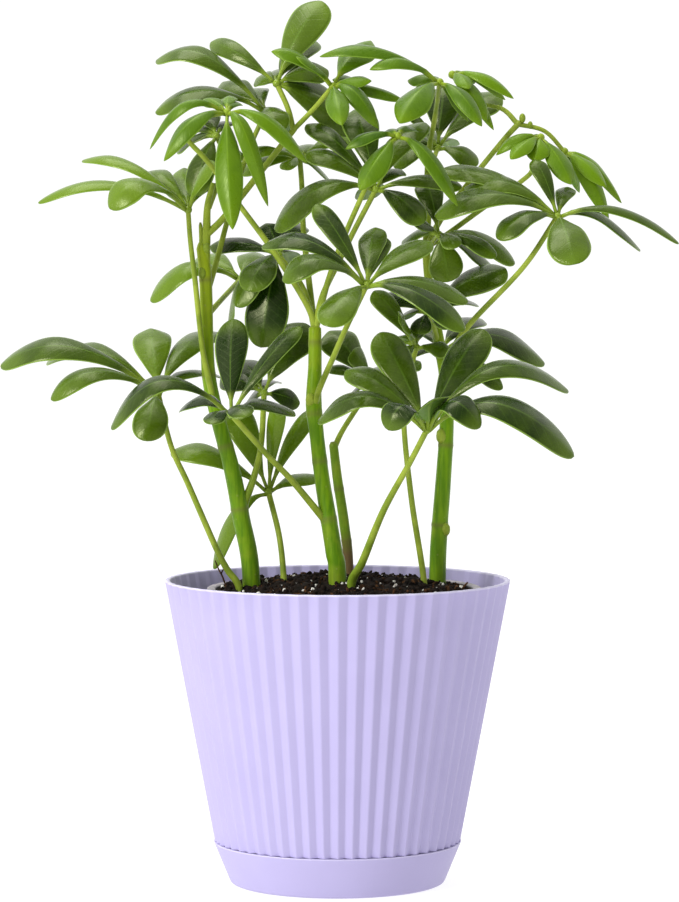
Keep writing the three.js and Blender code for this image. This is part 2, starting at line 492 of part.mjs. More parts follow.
const plant = new THREE.Group();
plant.add(meshOf("saucer", saucerSolid(), "lavender"));
plant.add(meshOf("pot", potSolid(), "lavender"));
plant.add(meshOf("nursery_pot", nurserySolid(), "darkPlastic"));
plant.add(meshOf("soil", soilSolid(), "soil"));
STEMS.forEach((stem) => plant.add(meshOf(stem.name, stemSolid(stem), "stem")));
LEAVES.forEach((leaf) => plant.add(meshOf(leaf.name, leafHead(leaf), leaf.young ? "youngLeaf" : "leaf")));

export default plant;
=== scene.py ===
"""Looks of a potted umbrella plant (dwarf schefflera) in a ribbed lavender pot with its saucer.

The leaves, stems, pot, saucer, grower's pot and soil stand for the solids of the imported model.
Sizes are real ones in millimetres, turned to metres by MM where a mesh is made.
"""

import math
import random

import bmesh
import bpy
from mathutils import Matrix, Quaternion, Vector, noise


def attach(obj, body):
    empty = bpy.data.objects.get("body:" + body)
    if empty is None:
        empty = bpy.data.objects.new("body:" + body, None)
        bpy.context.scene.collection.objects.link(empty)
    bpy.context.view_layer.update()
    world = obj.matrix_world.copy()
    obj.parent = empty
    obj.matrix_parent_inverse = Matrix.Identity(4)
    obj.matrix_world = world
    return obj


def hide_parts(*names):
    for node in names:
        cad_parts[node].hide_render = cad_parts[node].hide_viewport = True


MM = 0.001
SEED = 11
UP = Vector((0, 0, 1))

# Settings of shader nodes: one fades smoothly between two values, the other mixes colours.
SMOOTH = {"interpolation_type": "SMOOTHSTEP"}
COLOURS = {"data_type": "RGBA"}

# Camera: about 1.65 m in front of the plant, at the height of its upper leaves.
CAMERA_AT = Vector((0.9, -1650, 285)) * MM
CAMERA_AIM = Vector((0.9, 0, 193.5)) * MM
CAMERA_LENS = 147.5

# The surroundings are white, and dimmer towards one side. Strengths are those away from it and in its middle.
DIM_SIDE = Vector((0.57, -0.8, -0.1)).normalized()
WORLD_STRENGTH = (1.06, 0.35)

# Saucer, pot, grower's pot and soil.
SAUCER = {"base": 48, "rim": 55.7, "height": 18.6, "wall": 1.9, "floor": 2, "edge": 1.2}
POT = {
    "ribs": 56, "rib_depth": 1.2, "height": 136, "rim": 77.4, "shoulder": 55.2, "shoulder_height": 18.9,
    "wall": 2, "skirt_top": 52.4, "skirt_base": 45.4, "skirt_wall": 1.8, "floor_low": 6, "floor_high": 8,
    "foot": 2.3,
}
RIDGE_SHARE = 0.08
VALLEY_SHARE = 0.08
# Columns of the ribbed wall as shares of one rib's pitch, close together at the ridge and in the valley.
RIB_COLUMNS = (0, 0.025, 0.04, 0.055, 0.1, 0.25, 0.4, 0.445, 0.46, 0.475,
               0.5, 0.525, 0.54, 0.555, 0.6, 0.75, 0.9, 0.945, 0.96, 0.975)
# The rim is a narrow band with shallower ribs, and the valleys end a little above the seam. Each comes in
# over the height of its fade.
RIM_BAND = 1.2
RIM_EVENING = 0.5
RIM_FADE = 0.5
SEAM_LIFT = 0.12
SEAM_CLOSING = 0.22
SEAM_FADE = 1.5
DRAIN = {"radius": 4, "circle": 28, "count": 6}
NURSERY = {"x": 3, "base": 41.5, "rim": 59, "low": 8.3, "high": 129.5, "wall": 1.2, "lip": 61.2,
           "lip_high": 132.3}
SOIL = {"edge": 131, "crown": 136.5, "lump": 1.3, "edge_radius": 57.1, "low": 9.8, "low_radius": 40.1}
TWIGS = 46
TWIG_STEPS = 5
TWIG_SIDES = 6

# Leaflets.
HUB_RADIUS = 1.9
ROOT_START = 1
STALK_SHARE = 0.14
STALK_WIDTH = 1.6
BLADE_THICKNESS = 0.55
MIDRIB_DEPTH = 0.5
MIDRIB_WIDTH = 0.75
BLADE_ACROSS = 12
BLADE_ALONG = 26
TIP_CROWDING = 1.5
DEFAULT_RISE = 0.3
FACES = (-0.1, -0.6, 0.8)
SIDE_VEINS = 13
VEIN_SLANT = 0.14
# An outline swells out from the stalk, stays full for long or for a short way, and ends blunt or narrow. Its
# peak is its own greatest width. The fold is how far the halves slope down from the midrib.
GROWN = {"swell": 0.8, "fill": 3, "blunt": 0.52, "peak": 0.604, "fold": 0.22}
YOUNG = {"swell": 0.8, "fill": 2, "blunt": 0.8, "peak": 0.466, "fold": 0.42}

# Stems. Limbs up to STALK_RADIUS are green like leaf stalks, and those BARK_GROWTH thicker have full bark.
# A trunk swells a little at each scar, waves a little, and narrows to a share of its radius at its cut end.
STEM_STEP = 1.6
TRUNK_SIDES = 16
STALK_SIDES = 10
STALK_RADIUS = 1.4
BARK_GROWTH = 1.2
SCAR_REACH = 1.1
SCAR_SWELLING = 0.06
UNEVENNESS = 0.012
CUT_END = 0.55
PORE_SPACING = 4.5
# Trunks turn yellower between these heights.
YELLOWING = (200, 290)
# The foot of a stem is corky: the height where that ends, how far it fades below, and its strength.
CORKY_FOOT = (158, 12, 1)
FAINT_FOOT = (145, 14, 0.15)

# Compound leaves. Each leaflet is (x, y, z from the hub to its tip, width, rise of its arch).
# "faces" is the way that the leaf's upper side looks.
LEAVES = [
    {"name": "leaf_far_left", "hub": (-79, -22, 220), "leaflets": [
        (-70, 4, 12, 15, 0.53), (-51, 28, 13, 14, 0.52), (-46, -18, -2, 12, 0.57), (-5, 30, 28, 17, 0.25),
        (25, 44, 26, 14), (26, 42, 6, 11), (-4, -20, -20, 15.5, 0.35)]},
    {"name": "leaf_front_left", "hub": (-46, -48, 212), "leaflets": [
        (-52, -6, -6, 14, 0.85), (-23, 25, 1, 11, 0.45), (-8, -26, -3, 9.5, 0.3), (7, -28, 0, 11, 0.4),
        (0, 26, 41, 14.5, 0.1), (30, 10, 38, 10, 0.2), (27, 25, 0, 13)]},
    {"name": "leaf_low_inner_left", "hub": (-31, 8, 174.5), "leaflets": [
        (-44, 5, 18, 14, 0.4), (-25, 4, -35, 9.5, 0.5), (-16, 11, 37.5, 14), (23, 14, 6, 9.5, 0.2),
        (22, 12, 37, 9.5), (5, -9, 40, 8.5)]},
    {"name": "leaf_left_middle", "hub": (-66, -14, 301), "leaflets": [
        (-66, -4, 3, 8.5, 0.37), (-48, 18, 22, 7.5, 0.38), (-33, -26, 0, 16, 0.7), (-19, 22, 17, 9.5, 0.4),
        (-3, 30, 19, 11, 0.1), (12, -8, 21, 9.5), (12, 38, 10, 9.5)]},
    {"name": "leaf_young_left", "hub": (-48, -38, 343), "young": True, "leaflets": [
        (-34, 6, -16, 8, 0.78), (-27, -12, -21.5, 10.5, 0.5), (3, -22, -51, 11.5, 0.25),
        (18, -8, -41, 7, 0.7), (35, -4, -22, 8, 0.5), (1, 26, 7, 7), (5, 22, 4, 6), (-11, 14, 6, 7)]},
    {"name": "leaf_top_left", "hub": (-32, 8, 345), "leaflets": [
        (-49, -10, -1, 14, 0.47), (-49.5, 8, 23, 13.5, 0.6), (6, -24, -10, 14, 0.5),
        (-20, 22, 14, 12), (8, 32, -8, 13), (-8, 38, 10, 13)]},
    {"name": "leaf_top", "hub": (-27, -4, 357), "faces": (-0.25, -0.85, 0.45), "leaflets": [
        (20, 8, 37, 19, 0.2), (17, 24, 20, 14), (23, 10, 6, 12), (27, 18, -7, 12), (34, 20, -22, 11, 0.3),
        (-9, 14, 3, 9.5), (0, 44, 6, 13), (-30, 19, 19, 9, 0.4)]},
    {"name": "leaf_young_top", "hub": (-2, -22, 355), "young": True, "leaflets": [
        (4, -26, -18, 9.5, 0.3), (-27, -4, 15, 8, 0.4), (-16, -14, 12, 7, 0.3), (17, -6, 2, 9, 0.3),
        (17, 22, 21, 15), (31, 4, -6, 8, 0.2), (20, -12, -19, 9, 0.6), (10, 28, 3, 9)]},
    {"name": "leaf_young_top_right", "hub": (45, -16, 357), "young": True, "leaflets": [
        (-53, -4, 11, 9, 0.4), (-31, -10, 5, 9, 0.5), (-14, 8, 1, 8), (-18, -26, -19, 15, 0.3),
        (18, -18, -20, 8, 0.35), (13, 6, -17, 5), (-9, 30, -2, 9)]},
    {"name": "leaf_young_right_shoulder", "hub": (51, -2, 361), "young": True, "leaflets": [
        (27, -8, -11, 6.5, 0.4), (24, 6, -11, 7, 0.5), (15, -14, -21, 9, 0.35), (7, -16, -7, 7),
        (14, 20, -10, 7), (10, 24, -3, 8), (18, -12, -25, 5)]},
    {"name": "leaf_young_right", "hub": (90, -8, 333), "young": True, "leaflets": [
        (-20, -4, -8, 7, 0.5), (-14, -14, -10, 8), (-3, -10, -11, 10), (13, -12, -21, 10, 0.2),
        (-6, 24, -4, 8), (1, 24, -9, 8)]},
    {"name": "leaf_young_far_right", "hub": (101, 0, 327), "young": True, "leaflets": [
        (26, 4, -23, 7, 0.45), (18, -10, -16, 8, 0.3), (19.5, -6, -30, 8.5, 0.45), (8, 20, -18, 8),
        (20, 24, -20, 8)]},
    {"name": "leaf_far_right", "hub": (96.5, -26, 298), "leaflets": [
        (-27, -12, -10, 14, 0.45), (5.5, -32, -21, 18.5, 0.3), (-10, 8, 25, 8, 0.3), (6, 20, 13, 8.5),
        (54, 6, -12, 7, 0.4), (38, 20, -15, 11, 0.45), (-41, 6, 12, 13, 0.48), (-54, -2, 0, 15, 0.45),
        (-52, 12, 20, 12, 0.3)]},
    {"name": "leaf_front_middle", "hub": (12.5, -58, 268), "leaflets": [
        (-45, 6, 17, 13, 0.5), (-36, -12, 2, 14, 0.65), (-17, -28, -17, 16, 0.3), (-22, 14, 35, 10, 0.2),
        (8, 22, 21, 9.5, 0.15), (28, 14, 19, 14, 0.2), (44, 2, -7, 12, 0.3), (42, -14, -19, 13, 0.35),
        (4, 26, 25, 12, 0.2)]},
    {"name": "leaf_front_right", "hub": (38.5, -62, 206), "leaflets": [
        (-47, 2, 3, 13, 0.69), (-35, 14, 25, 13, 0.35), (-20, 22, 41.5, 16, 0.15), (25, 18, 43, 17.5, 0.15),
        (62, 16, 16, 13, 0.72), (63, -8, -11, 17.5, 0.7), (22, -24, 2, 14, 0.95), (-17, -24, 1, 15, 0.95),
        (3, -22, 14, 16, 0.4)]},
    {"name": "leaf_right_low", "hub": (47, 38, 237), "leaflets": [
        (48, 4, -6, 16, 0.56), (28, -10, -17, 9.5), (-10, 30, 12, 12), (20, 34, 14, 13), (-22, 22, -8, 12),
        (8, 20, -20, 12)]},
    {"name": "leaf_right_middle", "hub": (40, -8, 255), "leaflets": [
        (35, 2, 20, 20.5, 0.2), (-4, -8, -9, 9.5), (-20, 10, 8, 12), (10, -18, -6, 9.5), (22, 28, 4, 13),
        (-12, 28, -4, 13)]},
    {"name": "leaf_right_inner", "hub": (45, -6, 290), "leaflets": [
        (34, 2, -13, 12, 0.42), (25, -12, -10, 8.5, 0.3), (7, -16, -6, 8.5), (-13, -10, 10, 13, 0.1),
        (4, -4, -21, 15, 0.2), (26, 18, -16, 13, 0.2), (-16, 14, -3, 11), (-6, 14, 24, 12)]},
    {"name": "leaf_middle", "hub": (17, -14, 310), "leaflets": [
        (-31, 8, 16, 11, 0.3), (-31, 18, 29, 9.5, 0.3), (-45, 4, -18, 17.5, 0.5), (21, -12, -15, 13, 0.3),
        (11, 14, 9, 12), (-9, 24, 36, 16), (22, 20, 30, 14), (-4, 34, -4, 13), (38, -2, 1, 10, 0.25)]},
    {"name": "leaf_young_middle", "hub": (26.5, -34, 333), "young": True, "leaflets": [
        (-17, -14, -24, 12, 0.2), (26, -8, -31, 7.5, 0.45), (-6, 20, 1, 8), (8, 22, 3, 8),
        (-23, -6, -6, 7, 0.4)]},
    {"name": "leaf_top_right_inner", "hub": (45.5, 34, 329.5), "leaflets": [
        (3, 8, 28, 19), (28, 6, 25, 19), (18, -6, -8, 11, 0.3), (-20, -4, -9, 12, 0.4), (-16, 4, 4, 12),
        (6, 34, 2, 13), (-8, 30, 6, 13), (-14, -10, 16, 9, 0.35)]},
    {"name": "leaf_inner_left", "hub": (-26, -2, 281), "leaflets": [
        (-8, -9, -41, 19.5, 0.25), (-19, -8, -23, 13, 0.3), (-13, -22, -16, 16, 0.4), (-31, 14, 4, 11, 0.2),
        (-6, 10, 14, 11), (9, 22, 14, 13), (4, 34, -4, 13)]},
    {"name": "leaf_left_back", "hub": (-44, 30, 270), "leaflets": [
        (-41, -2, -10, 13.5, 0.6), (14, 16, 4, 12), (-20, 26, 10, 12), (-6, 14, -20, 11), (6, 24, 12, 12),
        (20, 8, -10, 11)]},
    {"name": "leaf_middle_left", "hub": (-17, 20, 324), "leaflets": [
        (-27, -6, 0, 8.5, 0.4), (-27, 6, -6, 11, 0.3), (-7, -12, -5, 7.5), (8, 26, 6, 12), (-10, 28, 4, 12),
        (14, 14, -10, 11), (26, 8, 10, 11, 0.3)]},
    {"name": "leaf_left_inner", "hub": (-54, 3, 334), "leaflets": [
        (-10, -12, -27, 13, 0.3), (-4, 14, 10, 9.5), (9, 17, -8, 11), (-14, 22, 2, 11), (6, 26, 6, 11),
        (-18, 16, -6, 11)]},
    {"name": "leaf_low_right_inner", "hub": (35, -10, 240), "leaflets": [
        (-19, 2, 25, 11), (-8, -12, 15, 9.5), (15, -4, -2, 9.5), (-10, -16, -4, 9.5), (-12, 24, 2, 11),
        (2, 30, 8, 12)]},
    {"name": "leaf_low_middle_back", "hub": (16, 32, 222), "leaflets": [
        (-21, 2, 7, 6.5, 0.3), (-20, 10, 24, 18.5), (-9, -6, 16, 11), (-12, 18, -8, 12), (22, 10, 10, 12),
        (6, 32, 6, 13), (12, 16, -12, 11)]},
    {"name": "leaf_low_left_back", "hub": (-33, 10, 219), "faces": (-0.1, -0.85, 0.5), "leaflets": [
        (19, 12, 31, 20), (16, 6, -5, 9.5), (-10, 22, 14, 12), (-20, 18, 6, 12), (2, 36, 4, 13),
        (-11, 26, -10, 10)]},
]

# Stems and stalks. Every point is (x, y, z, radius). A limb with a leaf ends in that leaf's hub.
STEMS = [
    {"name": "stem_left", "limbs": [
        {"points": [(-38.5, -8, 85, 4.1), (-38.5, -8, 138, 4), (-43, -9, 165, 3.9), (-47, -10, 186, 3.6),
            (-53, -10, 208, 3.3), (-57, -8, 226, 3.1), (-58, -8, 245, 2.9), (-58.5, -8, 270, 2.8),
            (-60, -8, 284, 2.6), (-60.3, -8, 287, 1.1), (-60.8, -8, 295.5, 0.8)]},
        {"points": [(-58.5, -8, 274, 2), (-58, -9, 292, 1.8), (-57.5, -9, 303, 1.5), (-55, -9, 313, 1.2)]},
        {"points": [(-58, -9, 290, 1.6), (-50, -8, 298, 1.5), (-34, -5, 318, 1.4), (-19, -5, 337, 1.3)]},
        {"leaf": "leaf_top", "points": [(-19.5, -5, 336, 1.3), (-22, -5, 346, 1.2)]},
        {"leaf": "leaf_young_top", "points": [(-20, -5, 336, 1.2), (-10, -12, 346, 1.1)]},
        {"leaf": "leaf_left_middle", "points": [(-54, -10, 212, 1.6), (-59, -13, 235, 1.3),
            (-61, -13.5, 250, 1.2), (-63, -14, 270, 1.2), (-65, -14, 287, 1.1)]},
        {"leaf": "leaf_top_left", "points": [(-58, -7.5, 264, 1.5), (-54, 0, 278, 1.3), (-49, 4, 297, 1.2),
            (-43, 7, 318, 1.2), (-38, 8, 332, 1.1)]},
        {"leaf": "leaf_left_back", "points": [(-58, -7, 254, 1.4), (-52, 6, 261, 1.2)]},
        {"leaf": "leaf_left_inner", "points": [(-57, -9, 302, 1.3), (-53, 1, 314, 1.1), (-51, 6, 326, 1.1)]},
        {"leaf": "leaf_low_left_back", "points": [(-43.5, -9, 164, 2.6), (-41, -8.5, 172, 1.9),
            (-37, -8, 183, 1.5), (-34, -4, 197, 1.3)]},
    ]},
    {"name": "stem_middle", "limbs": [
        {"points": [(0, -18, 85, 4), (0, -18, 138, 4), (-1.6, -18, 150, 3.8), (-4.2, -17, 166, 3.6),
            (-6.8, -16, 182, 3.4), (-9, -15, 200, 3.2), (-10.5, -14, 215, 3.6), (-10, -12, 232, 3),
            (-10, -10, 250, 2.8)]},
        {"leaf": "leaf_front_left", "points": [(-5, -17, 163, 1.7), (-20, -28, 182, 1.4),
            (-30, -36, 193, 1.3)]},
        {"leaf": "leaf_young_left", "points": [(-10, -10, 247, 1.5), (-13, -12, 258, 1.4),
            (-27, -20, 281, 1.3), (-43, -26, 303, 1.2), (-56, -30, 321, 1.2), (-65, -31, 331, 1.1),
            (-66, -30, 337, 1.1), (-59, -29, 341, 1.1)]},
        {"leaf": "leaf_front_middle", "points": [(-10, -14, 214, 1.6), (-8, -22, 222, 1.4),
            (-2, -34, 236, 1.3), (4, -45, 250, 1.2)]},
        {"leaf": "leaf_middle", "points": [(-10, -10, 247, 1.5), (-7, -12, 262, 1.3), (0, -14, 277, 1.3),
            (8, -14, 293, 1.2)]},
        {"leaf": "leaf_young_middle", "points": [(-10, -10, 247, 1.5), (-4, -16, 270, 1.3),
            (5, -24, 294, 1.2), (20, -33, 326, 1.1)]},
        {"leaf": "leaf_inner_left", "points": [(-10, -10, 248, 1.5), (-15, -6.5, 266, 1.1)]},
        {"leaf": "leaf_middle_left", "points": [(-10, -9, 247, 1.5), (-15, 4, 290, 1.3),
            (-16, 12, 312, 1.2)]},
    ]},
    {"name": "stem_right", "limbs": [
        {"points": [(45, 6, 85, 3.8), (45, 6, 138, 3.8), (46, 6, 160, 3.7), (47.5, 6, 180, 3.5),
            (49, 7, 205, 3.2), (48.5, 8, 225, 2.8), (45, 9, 245, 2.5), (42, 10, 262, 2), (40, 11, 280, 1.8),
            (40.5, 12, 300, 1.7), (40.5, 13, 320, 1.4), (42, 14, 335, 1.2)]},
        {"points": [(40, 11, 284, 1.5), (45, 4, 295, 1.4), (52, -2, 305, 1.3), (72, -6, 330, 1.2),
            (81, -5, 340, 1.4)]},
        {"leaf": "leaf_young_top_right", "points": [(42, 14, 333, 1.2), (44, 4, 346, 1.1)]},
        {"leaf": "leaf_young_right_shoulder", "points": [(80, -5, 339, 1.2), (73, -1, 346, 1.1),
            (59, 3, 350, 1)]},
        {"leaf": "leaf_young_right", "points": [(41, 11, 285, 1.4), (50, 6, 291, 1.2), (65, 0, 302, 1.2),
            (82, -6, 314, 1.1), (87, -7, 320, 1.1)]},
        {"leaf": "leaf_young_far_right", "points": [(80, -5, 339, 1.1), (92, -3, 336, 1)]},
        {"leaf": "leaf_far_right", "points": [(48, 8, 226, 1.6), (52, -2, 240, 1.4), (60, -12, 252, 1.3),
            (82, -22, 276, 1.2)]},
        {"leaf": "leaf_right_low", "points": [(48, 8, 214, 1.4), (49, 18, 228, 1.2)]},
        {"leaf": "leaf_right_middle", "points": [(45, 9, 242, 1.3), (43, 1, 249, 1.1)]},
        {"leaf": "leaf_right_inner", "points": [(40.5, 12, 282, 1.3), (42, 4, 286, 1.1)]},
        {"leaf": "leaf_top_right_inner", "points": [(40.5, 13, 316, 1.2), (43, 22, 323, 1.1)]},
    ]},
    {"name": "stem_back", "limbs": [
        {"points": [(5, 14, 85, 2.3), (5, 14, 138, 2.3), (3, 13, 160, 2.3), (0, 13, 180, 2.2),
            (-2, 14, 197, 2)]},
        {"leaf": "leaf_low_middle_back", "points": [(-1.5, 14, 194, 1.4), (3, 18, 203, 1.2)]},
    ]},
    {"name": "leaf_stalk_far_left", "limbs": [
        {"leaf": "leaf_far_left", "points": [(-43.5, -16, 115, 1.7), (-43.5, -16, 133, 1.6),
            (-49, -17, 142, 1.5), (-54, -18, 152, 1.4), (-66, -20, 180, 1.3), (-73.5, -21, 197, 1.2)]},
    ]},
    {"name": "leaf_stalk_low_inner_left", "limbs": [
        {"leaf": "leaf_low_inner_left", "points": [(-24, -5, 115, 1.5), (-24, -5, 136, 1.4),
            (-26, -1, 155, 1.3)]},
    ]},
    {"name": "leaf_stalk_front_right", "limbs": [
        {"leaf": "leaf_front_right", "points": [(6, -28, 115, 2.1), (6, -28, 136, 2), (11, -36, 147, 1.8),
            (20, -46, 170, 1.5), (31, -56, 191, 1.3)]},
    ]},
    {"name": "leaf_stalk_low_right_inner", "limbs": [
        {"leaf": "leaf_low_right_inner", "points": [(38.5, -8, 115, 1.5), (38.5, -8, 136, 1.4),
            (33, -10, 172, 1.3), (29.5, -12, 206, 1.2), (31, -12, 224, 1.1)]},
    ]},
]

# Old leaf scars, as heights of rings on each trunk, and small side buds as (x, y, z, radius).
SCARS = {
    "stem_left": (168, 196, 228, 270), "stem_middle": (164, 190, 211, 242),
    "stem_right": (160, 196, 236), "stem_back": (152, 176),
}
BUDS = {
    "stem_left": ((-58, -9.8, 284, 1.8), (-60, -10.2, 273, 1.8)),
    "stem_middle": ((-12, -16.5, 217, 2.2),),
    "stem_right": (
        (48.5, 4, 158, 2.2), (46.6, 5, 200, 2.5), (82, -5.3, 341.6, 1.5), (85.5, -4.8, 338.6, 1.2)),
}
BUD_STRETCH = 1.5
# Wiry rootlets that stand up from the soil, as points and radii.
ROOTLETS = (
    ((-49, -6, 130, 0.4), (-51, -6.5, 137, 0.4), (-53, -7, 141, 0.35), (-54.5, -7.5, 145, 0.3)),
    ((-52, -6.8, 139, 0.35), (-50.5, -7.5, 141.5, 0.3), (-48.5, -8, 142, 0.3)),
    ((54, -8, 129, 0.5), (56, -9, 133, 0.45), (58, -10, 135.5, 0.4)),
)
# How light a leaf's green is: 0 is the dark green and 1 the light one. It is partly each leaf's own tone
# and partly painted shade on leaves deep in the foliage and painted light on lit leaves.
# Its leaflets vary by TONE_SPREAD.
USUAL_TONE = 0.35
TONE_SPREAD = 0.22
LEAF_TONES_AND_SHADE = {
    "leaf_far_left": 0.5, "leaf_front_left": -0.1, "leaf_low_inner_left": 1.3, "leaf_left_middle": 0.9,
    "leaf_top_left": 0.3, "leaf_front_middle": 0.3, "leaf_left_back": 0.8, "leaf_low_left_back": 0.2,
    "leaf_inner_left": 0.1, "leaf_right_middle": 0.15, "leaf_right_low": -0.1, "leaf_front_right": 0.15,
    "leaf_left_inner": 0.15, "leaf_middle_left": 0.8, "leaf_top_right_inner": 0.3,
    "leaf_low_right_inner": 0.5, "leaf_young_left": 0.6, "leaf_young_top": 0.45,
    "leaf_young_top_right": 0.5, "leaf_young_right_shoulder": 0.85, "leaf_young_right": 0.85,
    "leaf_young_far_right": 1.1, "leaf_young_middle": 0.3,
}


def linear(text):
    """A colour given as sRGB hex, such as "B9B1DD", as linear RGBA."""
    parts = [int(text[i : i + 2], 16) / 255 for i in (0, 2, 4)]
    return [c / 12.92 if c <= 0.04045 else ((c + 0.055) / 1.055) ** 2.4 for c in parts] + [1]


def add_node(tree, kind, inputs=None, **settings):
    """Adds a shader node and returns its outputs. An input takes a value, or the socket it is linked to."""
    node = tree.nodes.new(f"ShaderNode{kind}")
    for name, value in settings.items():
        setattr(node, name, value)
    for name, value in (inputs or {}).items():
        if isinstance(value, bpy.types.NodeSocket):
            tree.links.new(value, node.inputs[name])
        else:
            node.inputs[name].default_value = value
    return node.outputs


def new_material(name, **values):
    """An empty material with its shader, and the shader's sockets that are the same all over."""
    material = bpy.data.materials.new(name)
    material.use_nodes = True
    shader = material.node_tree.nodes["Principled BSDF"]
    for socket, value in values.items():
        shader.inputs[socket.replace("_", " ")].default_value = value
    return material, material.node_tree, shader


def grain(tree, size, detail=2.0, stretch=(1, 1, 1)):
    """Cloudy noise on the piece's own coordinates, with features of about size millimetres."""
    place = add_node(tree, "TexCoord")["Object"]
    scale = tuple(1 / (size * MM * share) for share in stretch)
    vector = add_node(tree, "Mapping", {"Vector": place, "Scale": scale})[0]
    return add_node(tree, "TexNoise", {"Vector": vector, "Scale": 1.0, "Detail": detail})[0]


def stained(tree, colour, stain, pattern, low, high, start=0.0, end=1.0):
    """Stains a colour. The stain's share goes from start to end while the pattern goes from low to high."""
    share = add_node(tree, "MapRange", {0: pattern, 1: low, 2: high, 3: start, 4: end}, **SMOOTH)[0]
    return add_node(tree, "Mix", {0: share, 6: colour, 7: linear(stain)}, **COLOURS)[2]


def painted(tree, colour, paint, share, strength):
    """Paints over a colour by a share of some strength."""
    share = add_node(tree, "Math", {0: share, 1: strength}, operation="MULTIPLY")[0]
    return add_node(tree, "Mix", {0: share, 6: colour, 7: linear(paint)}, **COLOURS)[2]


def finish(tree, shader, colour, height, depth, roughness=None):
    """Gives the shader its colour, its relief of depth millimetres and, where it varies, its roughness."""
    relief = add_node(tree, "Bump", {"Height": height, "Distance": depth * MM, "Strength": 1.0})[0]
    tree.links.new(colour, shader.inputs["Base Color"])
    tree.links.new(relief, shader.inputs["Normal"])
    if roughness is not None:
        tree.links.new(roughness, shader.inputs["Roughness"])


def lavender_plastic():
    """Moulded polypropylene, dyed through: an even satin surface with a faint cloudiness and fine texture.

    The top of the pot's rim and a thin band along the saucer's rim are painted near white: a painted
    highlight.
    """
    material, tree, shader = new_material("lavender_polypropylene", IOR=1.49)
    height = add_node(tree, "SeparateXYZ", {0: add_node(tree, "TexCoord")["Object"]})[2]
    pot_rim, saucer_rim = POT["height"] * MM, SAUCER["height"] * MM
    # Painted highlight: a thin near-white band along the top of the saucer's rim.
    above = {0: height, 1: saucer_rim - 0.7 * MM, 2: saucer_rim - 0.4 * MM, 4: 0.25}
    below = {0: height, 1: saucer_rim, 2: saucer_rim + 0.1 * MM, 3: 1, 4: 0}
    edge = [add_node(tree, "MapRange", limits, **SMOOTH)[0] for limits in (above, below)]
    colour = stained(tree, linear("B2AAD4"), "B4ACD6", grain(tree, 22), 0.35, 0.65)
    # Painted highlight: the top millimetre of the pot's rim is painted near white.
    colour = stained(tree, colour, "F0ECFC", height, pot_rim - MM, pot_rim - 0.4 * MM, 0, 0.45)
    colour = painted(tree, colour, "F0ECFC", *edge)
    fine = grain(tree, 0.9, 3)
    roughness = add_node(tree, "MapRange", {0: fine, 1: 0.3, 2: 0.7, 3: 0.46, 4: 0.54}, **SMOOTH)[0]
    finish(tree, shader, colour, fine, 0.015, roughness)
    return material


def dark_plastic():
    """Vacuum-formed recycled polypropylene: thin and nearly black, with a greyish bloom and a painted lip
    highlight.
    """
    material, tree, shader = new_material("black_polypropylene", IOR=1.49)
    height = add_node(tree, "SeparateXYZ", {0: add_node(tree, "TexCoord")["Object"]})[2]
    top = NURSERY["lip_high"] * MM
    # Painted highlight: the lip is painted pale in patches.
    lip = add_node(tree, "MapRange", {0: height, 1: top - MM, 2: top - 0.2 * MM}, **SMOOTH)[0]
    bloom = grain(tree, 5, 4)
    patchy_lip_highlight = add_node(tree, "MapRange", {0: bloom, 1: 0.35, 2: 0.55, 3: 0.35, 4: 0.9}, **SMOOTH)[0]
    colour = stained(tree, linear("1B1B1D"), "353438", bloom, 0.4, 0.7)
    colour = painted(tree, colour, "A79FA6", lip, patchy_lip_highlight)
    roughness = add_node(tree, "MapRange", {0: bloom, 1: 0.3, 2: 0.7, 3: 0.4, 4: 0.6}, **SMOOTH)[0]
    finish(tree, shader, colour, bloom, 0.08, roughness)
    return material


def potting_soil():
    """Damp peat mix: nearly black brown crumbs with paler fibres."""
    material, tree, shader = new_material("damp_peat", Roughness=0.9, Specular_IOR_Level=0.15)
    lumps = grain(tree, 3, 5)
    colour = stained(tree, linear("0F0A08"), "221710", lumps, 0.35, 0.65)
    colour = stained(tree, colour, "3C2A1C", grain(tree, 1.2, 3, (4, 1, 1)), 0.62, 0.75)
    finish(tree, shader, colour, lumps, 0.8)
    return material


def perlite():
    """Expanded volcanic glass: chalky white grains, dusty with soil."""
    material, tree, shader = new_material("perlite", Roughness=1, Specular_IOR_Level=0.1)
    dust = grain(tree, 1.5, 3)
    finish(tree, shader, stained(tree, linear("E4E1DA"), "A79D8E", dust, 0.5, 0.75), dust, 0.2)
    return material


def bark():
    """Composted pine bark chips and twigs: brown, fibrous and dull."""
    material, tree, shader = new_material("composted_bark", Roughness=1, Specular_IOR_Level=0.05)
    fibres = grain(tree, 1.5, 4, (1, 1, 3))
    finish(tree, shader, stained(tree, linear("24180F"), "5A3F2A", fibres, 0.35, 0.65), fibres, 0.3)
    return material


